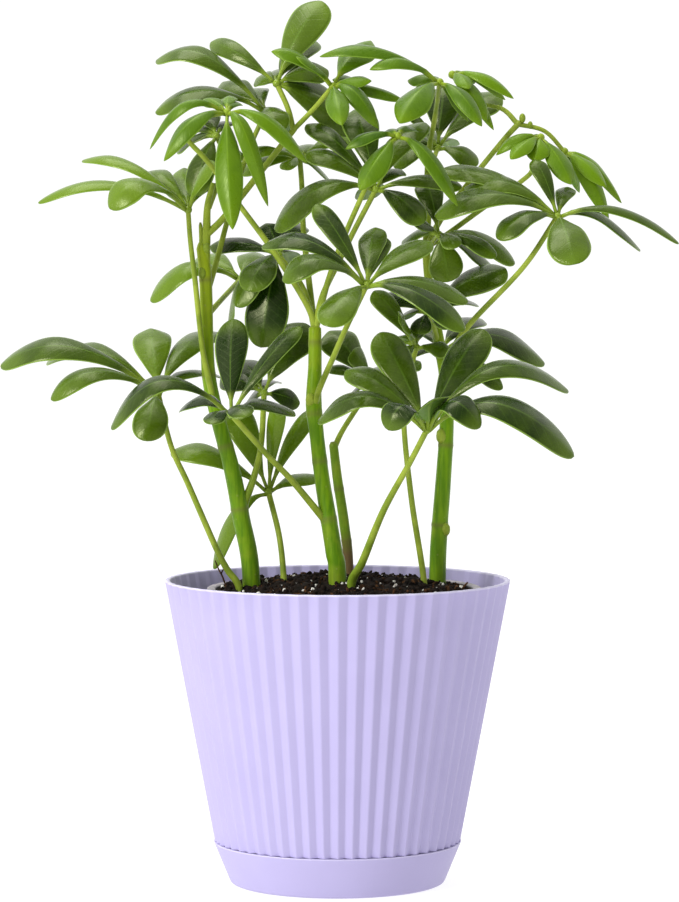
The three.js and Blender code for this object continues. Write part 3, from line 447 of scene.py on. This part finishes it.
def leaf_material(name, colours, sheen, gloss, cloud_size):
    """Waxy leaf: glossy above with a pale midrib, faint side veins, a light margin and a dull underside.

    The blade attribute holds the place across (-1 to 1) and along (0 to 1) a leaflet, and 1 on its underside.
    """
    material, tree, shader = new_material(
        name, IOR=1.45, Specular_IOR_Level=0.45, Specular_Tint=linear(sheen))
    blade = add_node(tree, "Attribute", attribute_name="blade")["Vector"]
    across, along, under = add_node(tree, "SeparateXYZ", {0: blade})
    out = add_node(tree, "Math", {0: across}, operation="ABSOLUTE")[0]
    # The leaflet's lightness, read from its attribute, carries painted shade and painted light as well as its
    # own tone.
    tone_and_shade = add_node(tree, "Attribute", attribute_name="tone_and_shade")["Fac"]
    cloudy = {0: grain(tree, cloud_size, 3), 1: 0.35, 2: 0.65, 3: -0.07, 4: 0.07}
    cloud = add_node(tree, "MapRange", cloudy, **SMOOTH)[0]
    shade = add_node(tree, "Math", {0: cloud, 1: tone_and_shade}, operation="ADD")[0]
    shades = {0: shade, 6: linear(colours["dark"]), 7: linear(colours["light"])}
    upper = add_node(tree, "Mix", shades, **COLOURS)[2]
    upper = stained(tree, upper, colours["tip"], along, 0.75, 1, 0, 0.55)

    slant = add_node(tree, "Math", {0: out, 1: -VEIN_SLANT, 2: along}, operation="MULTIPLY_ADD")[0]
    turns = add_node(tree, "Math", {0: slant, 1: 2 * math.pi * SIDE_VEINS}, operation="MULTIPLY")[0]
    wave = add_node(tree, "Math", {0: turns}, operation="SINE")[0]
    crest = add_node(tree, "MapRange", {0: wave, 1: 0.8}, **SMOOTH)[0]
    inner = add_node(tree, "MapRange", {0: out, 1: 0.75, 3: 1, 4: 0}, **SMOOTH)[0]
    veins = add_node(tree, "Math", {0: crest, 1: inner}, operation="MULTIPLY")[0]
    upper = painted(tree, upper, colours["vein"], veins, 0.06)

    midrib = add_node(tree, "MapRange", {0: out, 1: 0.02, 2: 0.09, 3: 1, 4: 0}, **SMOOTH)[0]
    fading = add_node(tree, "MapRange", {0: along, 1: 0.3, 3: 0.45, 4: 0.1}, **SMOOTH)[0]
    upper = painted(tree, upper, colours["vein"], midrib, fading)
    margin = add_node(tree, "MapRange", {0: out, 1: 0.9, 2: 0.99}, **SMOOTH)[0]
    growing = add_node(tree, "MapRange", {0: along, 1: 0.15, 2: 0.35, 4: 0.75}, **SMOOTH)[0]
    upper = painted(tree, upper, colours["margin"], margin, growing)

    lower = stained(tree, linear(colours["under"]), colours["under_rib"], out, 0.05, 0.2, 0.6, 0)
    colour = add_node(tree, "Mix", {0: under, 6: upper, 7: lower}, **COLOURS)[2]
    colour = stained(tree, colour, colours["stalk"], along, STALK_SHARE * 0.7, STALK_SHARE + 0.08, 1, 0)
    streaky = {0: grain(tree, 2.5, 4), 1: 0.3, 2: 0.7, 3: gloss - 0.04, 4: gloss + 0.08}
    streaks = add_node(tree, "MapRange", streaky, **SMOOTH)[0]
    roughness = add_node(tree, "Math", {0: under, 1: 0.25, 2: streaks}, operation="MULTIPLY_ADD")[0]
    pitted = add_node(tree, "Math", {0: grain(tree, 1.1, 2), 1: 0.5}, operation="MULTIPLY")[0]
    height = add_node(tree, "Math", {0: veins, 1: -0.35, 2: pitted}, operation="MULTIPLY_ADD")[0]
    finish(tree, shader, colour, height, 0.06, roughness)
    return material


def mature_leaf():
    """Full-grown leaf: leathery and deep green under a clear gloss."""
    return leaf_material("waxy_mature_leaf", {
        "dark": "122802", "light": "607C12", "tip": "627E1A", "vein": "5E7E2A", "margin": "92B24C",
        "under": "567A22", "under_rib": "7E9A40", "stalk": "7D942B",
    }, sheen="FAFFC8", gloss=0.23, cloud_size=9)


def young_leaf():
    """Young leaf: thin, soft and bright green, with a duller sheen."""
    return leaf_material("waxy_young_leaf", {
        "dark": "2E5003", "light": "5E8008", "tip": "6E8C10", "vein": "759626", "margin": "7FA034",
        "under": "5F8420", "under_rib": "7E9A3A", "stalk": "859B28",
    }, sheen="EEFFB4", gloss=0.3, cloud_size=6)


def green_stem():
    """Green bark: smooth, slightly glossy, streaked lengthways, with pale pores and brown rings.

    The growth attribute holds the age (0 on leaf stalks, 1 on trunks), the scar of a ring and the cork.
    """
    material, tree, shader = new_material(
        "green_bark", IOR=1.45, Specular_IOR_Level=0.3, Specular_Tint=linear("F4FFC8"))
    growth = add_node(tree, "Attribute", attribute_name="growth")["Vector"]
    age, scar, cork = add_node(tree, "SeparateXYZ", {0: growth})
    place = add_node(tree, "TexCoord")["Object"]
    height = add_node(tree, "SeparateXYZ", {0: place})[2]
    streaks = grain(tree, 1.6, 3, (1, 1, 9))
    blotch = grain(tree, 9, 3)
    stalk = stained(tree, linear("788C2A"), "95A63A", blotch, 0.35, 0.65)
    trunk = stained(tree, linear("547E06"), "6E940C", streaks, 0.35, 0.65)
    trunk = stained(tree, trunk, "8A9A24", blotch, 0.5, 0.7, 0, 0.4)
    trunk = stained(tree, trunk, "93A018", height, *(level * MM for level in YELLOWING), 0, 0.75)
    colour = add_node(tree, "Mix", {0: age, 6: stalk, 7: trunk}, **COLOURS)[2]

    speckles = add_node(tree, "TexVoronoi", {"Vector": place, "Scale": 1 / (PORE_SPACING * MM)})[0]
    speckles = add_node(tree, "MapRange", {0: speckles, 1: 0.08, 2: 0.14, 3: 0.35, 4: 0}, **SMOOTH)[0]
    pores = add_node(tree, "Math", {0: speckles, 1: age}, operation="MULTIPLY")[0]
    colour = add_node(tree, "Mix", {0: pores, 6: colour, 7: linear("8F9650")}, **COLOURS)[2]
    colour = painted(tree, colour, "6A6A30", scar, 0.7)
    colour = add_node(tree, "Mix", {0: cork, 6: colour, 7: linear("6B5638")}, **COLOURS)[2]
    roughness = add_node(tree, "MapRange", {0: blotch, 1: 0.3, 2: 0.7, 3: 0.38, 4: 0.52}, **SMOOTH)[0]
    raised = add_node(tree, "Math", {0: pores, 1: 0.6, 2: streaks}, operation="MULTIPLY_ADD")[0]
    finish(tree, shader, colour, raised, 0.15, roughness)
    return material


def pale_floor():
    """Matt opal acrylic of a studio table, faintly lit from below: plain white with hardly a shadow."""
    material, tree, shader = new_material(
        "opal_acrylic_table", Roughness=0.9, Emission_Color=(1, 1, 1, 1), Emission_Strength=0.8)
    colour = stained(tree, linear("8E8E8F"), "949494", grain(tree, 4, 2), 0.3, 0.7)
    tree.links.new(colour, shader.inputs["Base Color"])
    return material


def object_of(name, shape, materials):
    """A finished bmesh as an object of smooth faces, with its place in its mesh."""
    mesh = bpy.data.meshes.new(name)
    shape.to_mesh(mesh)
    shape.free()
    for material in materials:
        mesh.materials.append(material)
    mesh.shade_smooth()
    piece = bpy.data.objects.new(name, mesh)
    bpy.context.scene.collection.objects.link(piece)
    return piece


def weld(shape):
    """Closes a shape's seams and poles, and turns its faces outwards."""
    bmesh.ops.remove_doubles(shape, verts=shape.verts, dist=1e-7)
    bmesh.ops.recalc_face_normals(shape, faces=shape.faces)


def dress(piece, node):
    """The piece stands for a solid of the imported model."""
    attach(piece, "root")
    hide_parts(node)


def outline_share(blade, form):
    """Half-width of a blade as a share of its greatest, at a share of the blade's length."""
    return blade ** form["swell"] * (1 - min(blade, 1) ** form["fill"]) ** form["blunt"] / form["peak"]


def half_width(share, width, form):
    """Half-width of a leaflet at a share of its line, from its narrow stalk to its blade."""
    blade = max(0.0, (share - STALK_SHARE) / (1 - STALK_SHARE))
    return STALK_WIDTH / 2 * (1 - blade) + width / 2 * outline_share(blade, form)


class Midrib:
    """The arched line from a leaf's hub to the tip of one leaflet, with the directions round it."""

    def __init__(self, hub, reach, rise, faces):
        self.root = hub + reach.normalized() * ROOT_START
        self.tip = hub + reach
        self.upper = faces.normalized()
        self.crown = (self.root + self.tip) / 2 + self.upper * rise * reach.length

    def at(self, share):
        """The place at a share of the line, and the directions to its side and up from it."""
        back = 1 - share
        place = self.root * back * back + self.crown * 2 * back * share + self.tip * share * share
        along = ((self.crown - self.root) * back + (self.tip - self.crown) * share).normalized()
        side = along.cross(self.upper).normalized()
        return place, side, side.cross(along)


def add_leaflet(shape, layers, midrib, width, form, tone_and_shade, rng):
    """One leaflet: a grid closed into a thin blade, then bent along its midrib."""
    blade_layer, tone_and_shade_layer = layers
    sheet = bmesh.ops.create_grid(shape, x_segments=BLADE_ACROSS, y_segments=BLADE_ALONG, size=1)["verts"]
    faces = list({face for vert in sheet for face in vert.link_faces})
    lifted = bmesh.ops.extrude_face_region(shape, geom=faces)["geom"]
    top = [item for item in lifted if isinstance(item, bmesh.types.BMVert)]
    phase = rng.uniform(0, 2 * math.pi)
    ripple = rng.uniform(0.02, 0.07)
    ripples = rng.uniform(9, 14)
    sweep = rng.uniform(-0.05, 0.05) * width
    roll = rng.uniform(-0.12, 0.12)
    rows = {}
    for under, verts in ((1, sheet), (0, top)):
        for vert in verts:
            across = math.copysign(abs(vert.co.x) ** 1.25, vert.co.x)
            share = 1 - (1 - (vert.co.y + 1) / 2) ** TIP_CROWDING
            row = round(share, 5)
            if row not in rows:
                rows[row] = (*midrib.at(share), half_width(share, width, form))
            place, side, up, half = rows[row]
            blade = max(0.0, (share - STALK_SHARE) / (1 - STALK_SHARE))
            drop = form["fold"] * half * abs(across) ** 1.4
            drop -= ripple * half * across * across * math.sin(share * ripples + phase + across)
            drop -= roll * half * across * blade
            from_rib = across * half / MIDRIB_WIDTH
            rib = math.exp(-from_rib * from_rib) * (1 - blade) ** 0.5
            round_stalk = STALK_WIDTH * (1 - blade) ** 6 * math.sqrt(max(0.0, 1 - across * across))
            thick = (BLADE_THICKNESS * (1 - 0.7 * across**4) + round_stalk) * min(1, half / 1.2) / 2
            keel = MIDRIB_DEPTH * rib * min(1, half)
            groove = 0.3 * MIDRIB_DEPTH * rib * blade
            lift = -thick - keel if under else thick - groove
            bend = sweep * math.sin(math.pi * share)
            vert.co = (place + side * (across * half + bend) + up * (lift - drop)) * MM
            vert[blade_layer] = (across, share, under)
            vert[tone_and_shade_layer] = tone_and_shade


def leaf_piece(leaf, material):
    """A compound leaf: a small hub with its leaflets."""
    rng = random.Random(f"{SEED} {leaf['name']}")
    shape = bmesh.new()
    layers = shape.verts.layers.float_vector.new("blade"), shape.verts.layers.float.new("tone_and_shade")
    hub = Vector(leaf["hub"])
    faces = Vector(leaf.get("faces", FACES))
    form = YOUNG if leaf.get("young") else GROWN
    bmesh.ops.create_icosphere(
        shape, subdivisions=2, radius=HUB_RADIUS * MM, matrix=Matrix.Translation(hub * MM))
    # A leaf's lightness: partly its own tone and partly painted shade and painted light.
    leaf_tone_and_shade = LEAF_TONES_AND_SHADE.get(leaf["name"], USUAL_TONE)
    for x, y, z, width, *rise in leaf["leaflets"]:
        midrib = Midrib(hub, Vector((x, y, z)), rise[0] if rise else DEFAULT_RISE, faces)
        tone_and_shade = leaf_tone_and_shade + rng.uniform(-TONE_SPREAD, TONE_SPREAD)
        add_leaflet(shape, layers, midrib, width, form, tone_and_shade, rng)
    weld(shape)
    return object_of(f"{leaf['name']}_grown", shape, [material])


def limb_points(limb):
    """The points of a limb, with its end in the hub of the leaf that it carries."""
    points = [(Vector(point[:3]), point[3]) for point in limb["points"]]
    if "leaf" in limb:
        hub = next(leaf["hub"] for leaf in LEAVES if leaf["name"] == limb["leaf"])
        points.append((Vector(hub), points[-1][1]))
    return points


def smooth_path(points, step):
    """A smooth curve through the points, as places and radii about step apart."""
    places = [place for place, _ in points]
    before = 2 * places[0] - places[1]
    after = 2 * places[-1] - places[-2]
    posts = [before, *places, after]
    path = []
    for i in range(1, len(posts) - 2):
        a, b, c, d = posts[i - 1 : i + 3]
        count = max(2, math.ceil((c - b).length / step))
        for k in range(count):
            t = k / count
            place = 0.5 * (2 * b + (c - a) * t + (2 * a - 5 * b + 4 * c - d) * t * t
                           + (3 * b - a - 3 * c + d) * t**3)
            path.append((place, points[i - 1][1] * (1 - t) + points[i][1] * t))
    path.append(points[-1])
    return path


def add_tube(shape, path, sides):
    """A closed round bar along a path. Returns its vertices, each with the number of its ring."""
    rows = len(path) + 1
    verts = bmesh.ops.create_grid(shape, x_segments=sides, y_segments=rows, size=1)["verts"]
    frames = []
    along = UP.copy()
    turn = Quaternion()
    last = len(path) - 1
    for i in range(len(path)):
        ahead = (path[min(i + 1, last)][0] - path[max(i - 1, 0)][0]).normalized()
        turn = along.rotation_difference(ahead) @ turn
        along = ahead
        frames.append(turn)
    placed = []
    for vert in verts:
        row = round((vert.co.y + 1) / 2 * rows)
        ring = min(max(row - 1, 0), last)
        angle = (vert.co.x + 1) * math.pi
        place, radius = path[ring]
        radius = radius if 0 < row < rows else 0
        vert.co = (place + frames[ring] @ Vector((math.cos(angle), math.sin(angle), 0)) * radius) * MM
        placed.append((vert, ring))
    return placed


def stem_piece(stem, material):
    """A trunk or stalk with its side shoots, rings of old leaf scars and small buds."""
    rng = random.Random(f"{SEED} {stem['name']}")
    shape = bmesh.new()
    growth = shape.verts.layers.float_vector.new("growth")
    cork_top, cork_fade, cork_strength = CORKY_FOOT if stem["name"] == "stem_back" else FAINT_FOOT
    for number, limb in enumerate(stem["limbs"]):
        points = limb_points(limb)
        trunk = number == 0 and stem["name"].startswith("stem_")
        path = smooth_path(points, STEM_STEP)
        last = len(path) - 1
        scars = SCARS.get(stem["name"], ()) if trunk else ()
        marks = []
        for i, (place, radius) in enumerate(path):
            scar = max([math.exp(-(((place.z - height) / SCAR_REACH) ** 2)) for height in scars], default=0)
            wave = noise.noise(place * 0.09 + Vector((number, 0, 0)))
            lump = 1 + SCAR_SWELLING * scar + UNEVENNESS * wave
            cut = trunk and i == last
            path[i] = (place, radius * lump * (CUT_END if cut else 1))
            marks.append(1 if cut else scar)
        for vert, ring in add_tube(shape, path, TRUNK_SIDES if trunk else STALK_SIDES):
            place, radius = path[ring]
            age = min(1, max(0, radius - STALK_RADIUS) / BARK_GROWTH)
            cork = max(0, min(1, (cork_top - place.z) / cork_fade)) * cork_strength
            vert[growth] = (age, marks[ring], cork * min(1, age + 0.3))
    for x, y, z, radius in BUDS.get(stem["name"], ()):
        lean = Matrix.Rotation(rng.uniform(-0.4, 0.4), 4, "X") @ Matrix.Diagonal((1, 1, BUD_STRETCH, 1))
        matrix = Matrix.Translation(Vector((x, y, z)) * MM) @ lean
        bmesh.ops.create_icosphere(shape, subdivisions=2, radius=radius * MM, matrix=matrix)
    weld(shape)
    return object_of(f"{stem['name']}_grown", shape, [material])


def rounded(outline, segments=4):
    """A closed outline of (radius, z, rounding), with each corner turned into an arc."""
    points = []
    count = len(outline)
    for i, (radius, z, rounding) in enumerate(outline):
        corner = Vector((radius, z))
        if rounding == 0:
            points.append(corner)
            continue
        back = (Vector(outline[i - 1][:2]) - corner).normalized()
        on = (Vector(outline[(i + 1) % count][:2]) - corner).normalized()
        for k in range(segments + 1):
            t = k / segments
            start = corner + back * rounding
            end = corner + on * rounding
            points.append(start * (1 - t) ** 2 + corner * 2 * t * (1 - t) + end * t * t)
    return points


def divided(points, longest):
    """The same closed outline, with its long straight stretches cut into parts no longer than longest."""
    cut = []
    for i, point in enumerate(points):
        after = points[(i + 1) % len(points)]
        parts = max(1, math.ceil((after - point).length / longest))
        cut += [point.lerp(after, k / parts) for k in range(parts)]
    return cut


def turned(points, sectors, steps, reshape=None):
    """A closed outline of (radius, z) in millimetres turned round the Z axis. reshape may move each point.

    One sector is spun and then copied round, which is far quicker than spinning the whole turn.
    """
    shape = bmesh.new()
    verts = [shape.verts.new((point.x, 0, point.y)) for point in points]
    edges = [shape.edges.new((verts[i - 1], verts[i])) for i in range(len(verts))]
    angle = 2 * math.pi / sectors
    bmesh.ops.spin(shape, geom=verts + edges, cent=(0, 0, 0), axis=(0, 0, 1), angle=angle, steps=steps)
    sector = shape.verts[:] + shape.edges[:] + shape.faces[:]
    for i in range(1, sectors):
        copied = bmesh.ops.duplicate(shape, geom=sector)["geom"]
        copied = [item for item in copied if isinstance(item, bmesh.types.BMVert)]
        bmesh.ops.rotate(shape, cent=(0, 0, 0), matrix=Matrix.Rotation(i * angle, 3, "Z"), verts=copied)
    bmesh.ops.remove_doubles(shape, verts=shape.verts, dist=1e-5)
    if reshape:
        for vert in shape.verts:
            vert.co = reshape(vert.co)
    bmesh.ops.scale(shape, vec=(MM, MM, MM), verts=shape.verts)
    bmesh.ops.recalc_face_normals(shape, faces=shape.faces)
    return shape


def saucer_piece(material):
    """Saucer: a shallow tray with a wall that leans outwards."""
    base, rim, height, wall, floor = (SAUCER[key] for key in ("base", "rim", "height", "wall", "floor"))
    slope = (rim - base) / height
    outline = [
        (0, 0, 0), (base, 0, SAUCER["edge"]), (rim, height, 0.5), (rim - wall, height, 0.5),
        (base + slope * floor - wall, floor, 1), (0, floor, 0)]
    shape = turned(divided(rounded(outline), longest=6), sectors=10, steps=16)
    dress(object_of("saucer_moulded", shape, [material]), "saucer")


def fold(phase):
    """How far a place lies from its ridge (0) towards its valley (1), at a share of one rib's pitch."""
    off_ridge = min(phase, 1 - phase)
    slope = (1 - RIDGE_SHARE - VALLEY_SHARE) / 2
    return min(1, max(0, (off_ridge - RIDGE_SHARE / 2) / slope))


def ribbed(place):
    """Folds the wall above the skirt into flat-sided ribs, which fade just under the rim."""
    radius = math.hypot(place.x, place.y)
    if place.z < POT["shoulder_height"] - SEAM_CLOSING - 0.01 or radius < POT["skirt_top"] + 0.6:
        return place
    turn = math.atan2(place.y, place.x) * POT["ribs"] / (2 * math.pi)
    column = round(turn % 1 * len(RIB_COLUMNS)) % len(RIB_COLUMNS)
    phase = RIB_COLUMNS[column]
    rib = round(turn - column / len(RIB_COLUMNS))
    angle = (rib + phase + RIDGE_SHARE / 2) * 2 * math.pi / POT["ribs"]
    deep = fold(phase)
    near_rim = min(1, max(0, (place.z - POT["height"] + RIM_BAND) / RIM_FADE))
    radius -= POT["rib_depth"] * deep * (1 - RIM_EVENING * near_rim)
    near_seam = max(0, 1 - (place.z - POT["shoulder_height"]) / SEAM_FADE)
    height = place.z + SEAM_LIFT * deep * near_seam
    return Vector((radius * math.cos(angle), radius * math.sin(angle), height))


def pot_piece(material):
    """Cover pot: a ribbed wall over a plain skirt that nests in the saucer, and a floor with drain holes."""
    low, high, wall, rim = (POT[key] for key in ("shoulder_height", "height", "wall", "rim"))
    foot, base, top, skirt_wall = (POT[key] for key in ("foot", "skirt_base", "skirt_top", "skirt_wall"))
    floor_low, floor_high = POT["floor_low"], POT["floor_high"]
    flange = low + wall
    slope = (rim - POT["shoulder"]) / (high - low)
    skirt_slope = (top - base) / (low - foot)
    inside = POT["shoulder"] + slope * wall - wall
    outline = [
        (0, floor_low, 0), (base + skirt_slope * (floor_low - foot) - skirt_wall, floor_low, 0.4),
        (base - skirt_wall, foot, 0.4), (base, foot, 0.6), (top, low, 0.3),
        (POT["shoulder"], low - SEAM_CLOSING, 0.25), (rim - slope * RIM_BAND, high - RIM_BAND, 0),
        (rim, high, 0.6), (rim - wall, high, 0.6), (inside, flange, 0.6), (top - skirt_wall, flange, 0.4),
        (base + skirt_slope * (floor_high - foot) - skirt_wall, floor_high, 0.6), (0, floor_high, 0)]
    shape = turned(divided(rounded(outline), longest=12), POT["ribs"], len(RIB_COLUMNS), ribbed)
    piece = object_of("pot_moulded", shape, [material])
    drill(piece, floor_low, floor_high)
    dress(piece, "pot")


def drill(piece, low, high, x=0):
    """Cuts the drain holes through a floor: one in the middle and a ring round it."""
    holes = bmesh.new()
    for i in range(DRAIN["count"] + 1):
        angle = i * 2 * math.pi / DRAIN["count"]
        out = 0 if i == DRAIN["count"] else DRAIN["circle"]
        place = Vector((x + out * math.cos(angle), out * math.sin(angle), (low + high) / 2)) * MM
        bmesh.ops.create_cone(
            holes, cap_ends=True, segments=24, radius1=DRAIN["radius"] * MM, radius2=DRAIN["radius"] * MM,
            depth=(high - low + 2) * MM, matrix=Matrix.Translation(place))
    cutter = object_of("drill", holes, [])
    cut = piece.modifiers.new("holes", "BOOLEAN")
    cut.operation = "DIFFERENCE"
    cut.object = cutter
    cut.solver = "EXACT"
    made = bpy.data.meshes.new_from_object(piece.evaluated_get(bpy.context.evaluated_depsgraph_get()))
    piece.modifiers.clear()
    piece.data = made
    bpy.data.objects.remove(cutter)


def nursery_piece(material):
    """Grower's pot of thin plastic with a rolled lip, a little off centre in the cover pot."""
    x, base, rim, low, high = (NURSERY[key] for key in ("x", "base", "rim", "low", "high"))
    wall, lip, lip_high = (NURSERY[key] for key in ("wall", "lip", "lip_high"))
    outline = [
        (0, low, 0), (base, low, 1), (rim, high, 0.3), (lip, high, 0.4), (lip + 0.4, lip_high, 0.9),
        (rim - wall, lip_high, 0.9), (base - wall, low + wall, 0.8), (0, low + wall, 0)]
    shape = turned(divided(rounded(outline), longest=8), sectors=8, steps=16)
    bmesh.ops.translate(shape, vec=(x * MM, 0, 0), verts=shape.verts)
    piece = object_of("nursery_pot_formed", shape, [material])
    drill(piece, low, low + wall, x)
    dress(piece, "nursery_pot")


def soil_height(x, y):
    """Height of the soil's surface at a place measured from the pot's axis."""
    share = min(1, math.hypot(x - NURSERY["x"], y) / SOIL["edge_radius"])
    dome = SOIL["edge"] + (SOIL["crown"] - SOIL["edge"]) * (1 - share * share)
    lump = SOIL["lump"] * math.sin((x - NURSERY["x"]) * 0.31 + 1) * math.cos(y * 0.27) * (1 - share**4)
    crumbs = 0.9 * noise.noise(Vector((x, y, 0)) * 0.35) + 0.6 * noise.noise(Vector((x, y, 7)) * 0.9)
    return dome + lump + crumbs


def soil_piece(material):
    """The potting mix: a closed body whose top is a low crumbly dome."""
    low, edge, edge_radius = SOIL["low"], SOIL["edge"], SOIL["edge_radius"]
    outline = [
        (0, low, 0), (SOIL["low_radius"], low, 0), (edge_radius, edge - 2, 0), (edge_radius, edge, 0),
        (0, edge, 0)]

    def heaped(place):
        """Moves the soil to the middle of the grower's pot and raises its flat top into the dome."""
        x = place.x + NURSERY["x"]
        if place.z < edge - 0.01:
            return Vector((x, place.y, place.z))
        return Vector((x, place.y, soil_height(x, place.y)))

    shape = turned(divided(rounded(outline), longest=1.3), sectors=20, steps=11, reshape=heaped)
    dress(object_of("soil_heaped", shape, [material]), "soil")


def small_balls(count):
    """A bmesh of count small balls 1 mm in radius, made by doubling, and the vertices of each."""
    shape = bmesh.new()
    number = shape.verts.layers.int.new("number")
    bmesh.ops.create_icosphere(shape, subdivisions=1, radius=MM)
    made = 1
    while made < count:
        more = min(made, count - made)
        geom = [vert for vert in shape.verts if vert[number] < more]
        chosen = set(geom)
        geom += [item for item in shape.edges[:] + shape.faces[:] if chosen.issuperset(item.verts)]
        for item in bmesh.ops.duplicate(shape, geom=geom)["geom"]:
            if isinstance(item, bmesh.types.BMVert):
                item[number] += made
        made += more
    lumps = [[] for _ in range(count)]
    for vert in shape.verts:
        lumps[vert[number]].append(vert)
    return shape, lumps


def scattered(name, material, count, sizes, squash, lift, seed):
    """Small rough lumps strewn over the soil, half sunk in it. Their sizes are radii in millimetres."""
    rng = random.Random(f"{SEED} {seed}")
    shape, lumps = small_balls(count)
    for verts in lumps:
        out = SOIL["edge_radius"] * 0.97 * math.sqrt(rng.random())
        angle = rng.uniform(0, 2 * math.pi)
        x = NURSERY["x"] + out * math.cos(angle)
        y = out * math.sin(angle)
        size = sizes[0] + (sizes[1] - sizes[0]) * rng.random() ** 2
        place = Vector((x, y, soil_height(x, y) + size * lift))
        turn = Quaternion([rng.uniform(-1, 1) for _ in range(4)]).normalized().to_matrix().to_4x4()
        form = Matrix.Diagonal((size, size * rng.uniform(*squash), size * rng.uniform(*squash), 1))
        pose = Matrix.Translation(place * MM) @ turn @ form
        for vert in verts:
            vert.co = pose @ (vert.co * rng.uniform(0.75, 1.15))
    piece = object_of(name, shape, [material])
    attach(piece, "root")


def twigs_piece(material):
    """Short twigs lying on the soil, and rootlets that stand up from it."""
    rng = random.Random(f"{SEED} twigs")
    shape = bmesh.new()
    for _ in range(TWIGS):
        out = 0.9 * SOIL["edge_radius"] * math.sqrt(rng.random())
        angle = rng.uniform(0, 2 * math.pi)
        heading = rng.uniform(0, 2 * math.pi)
        bend = rng.uniform(-0.12, 0.12)
        length = rng.uniform(5, 16)
        radius = rng.uniform(0.25, 0.6)
        x = NURSERY["x"] + out * math.cos(angle)
        y = out * math.sin(angle)
        path = []
        for _ in range(TWIG_STEPS + 1):
            if math.hypot(x - NURSERY["x"], y) < SOIL["edge_radius"] - 1:
                path.append((Vector((x, y, soil_height(x, y) + radius * 0.6)), radius))
            x += math.cos(heading) * length / TWIG_STEPS
            y += math.sin(heading) * length / TWIG_STEPS
            heading += bend * length / TWIG_STEPS
        if len(path) > 2:
            add_tube(shape, path, TWIG_SIDES)
    for points in ROOTLETS:
        path = smooth_path([(Vector(point[:3]), point[3]) for point in points], 1)
        add_tube(shape, path, TWIG_SIDES)
    weld(shape)
    piece = object_of("twigs", shape, [material])
    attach(piece, "root")


def make_camera():
    """A long lens well away from the plant, so that its leaves keep their true proportions."""
    data = bpy.data.cameras.new("camera")
    data.lens = CAMERA_LENS
    data.sensor_width = 36
    camera = bpy.data.objects.new("camera", data)
    camera.location = CAMERA_AT
    camera.rotation_euler = (CAMERA_AIM - CAMERA_AT).to_track_quat("-Z", "Y").to_euler()
    bpy.context.scene.collection.objects.link(camera)
    bpy.context.scene.camera = camera


def add_softbox(name, place, aim, size, power):
    """A square lamp that faces a point. Its place and size are in metres and its power in watts."""
    data = bpy.data.lights.new(name, "AREA")
    data.shape = "SQUARE"
    data.size = size
    data.energy = power
    light = bpy.data.objects.new(name, data)
    light.location = place
    light.rotation_euler = (Vector(aim) - Vector(place)).to_track_quat("-Z", "Y").to_euler()
    bpy.context.scene.collection.objects.link(light)


def light_scene():
    """Soft studio light: white surroundings, dimmer towards the front right, and two large softboxes."""
    world = bpy.data.worlds.new("studio")
    world.use_nodes = True
    tree = world.node_tree
    background = tree.nodes["Background"]
    background.inputs["Color"].default_value = (1, 1, 1, 1)
    way = add_node(tree, "TexCoord")["Generated"]
    towards = add_node(tree, "VectorMath", {0: way, 1: DIM_SIDE}, operation="DOT_PRODUCT")["Value"]
    away_strength, middle_strength = WORLD_STRENGTH
    dimming = {0: towards, 2: 0.9, 3: away_strength, 4: middle_strength}
    tree.links.new(add_node(tree, "MapRange", dimming, **SMOOTH)[0], background.inputs["Strength"])
    bpy.context.scene.world = world
    add_softbox("softbox_left", (-1.5, -1.5, 1.1), aim=(0, 0, 0.2), size=0.8, power=34)
    add_softbox("softbox_top", (-0.3, 0.1, 1.7), aim=(0, 0, 0.2), size=1.0, power=12)
    bpy.context.scene.view_settings.view_transform = "Standard"


def lay_floor():
    """The table that the saucer stands on, larger than the picture."""
    shape = bmesh.new()
    bmesh.ops.create_grid(shape, x_segments=1, y_segments=1, size=6)
    floor = object_of("floor", shape, [pale_floor()])


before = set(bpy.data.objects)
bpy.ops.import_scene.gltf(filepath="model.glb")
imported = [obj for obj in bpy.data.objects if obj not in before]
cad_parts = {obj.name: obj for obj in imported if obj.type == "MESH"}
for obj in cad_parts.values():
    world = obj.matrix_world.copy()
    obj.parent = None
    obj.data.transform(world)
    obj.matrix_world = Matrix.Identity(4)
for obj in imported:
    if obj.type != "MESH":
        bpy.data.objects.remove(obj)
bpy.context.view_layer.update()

make_camera()
light_scene()
lay_floor()

lavender = lavender_plastic()
saucer_piece(lavender)
pot_piece(lavender)
nursery_piece(dark_plastic())
peat = potting_soil()
soil_piece(peat)
scattered("soil_crumbs", peat, 1500, sizes=(0.4, 1.9), squash=(0.5, 1), lift=0.2, seed="crumbs")
scattered("perlite_grains", perlite(), 130, sizes=(0.35, 1.4), squash=(0.5, 1), lift=0.35, seed="perlite")
chips = bark()
scattered("bark_chips", chips, 160, sizes=(0.7, 2.2), squash=(0.3, 0.8), lift=0.3, seed="bark")
twigs_piece(chips)

bark_green = green_stem()
for stem in STEMS:
    dress(stem_piece(stem, bark_green), stem["name"])

mature, young = mature_leaf(), young_leaf()
for leaf in LEAVES:
    if leaf.get("young"):
        dress(leaf_piece(leaf, young), leaf["name"])
    else:
        dress(leaf_piece(leaf, mature), leaf["name"])
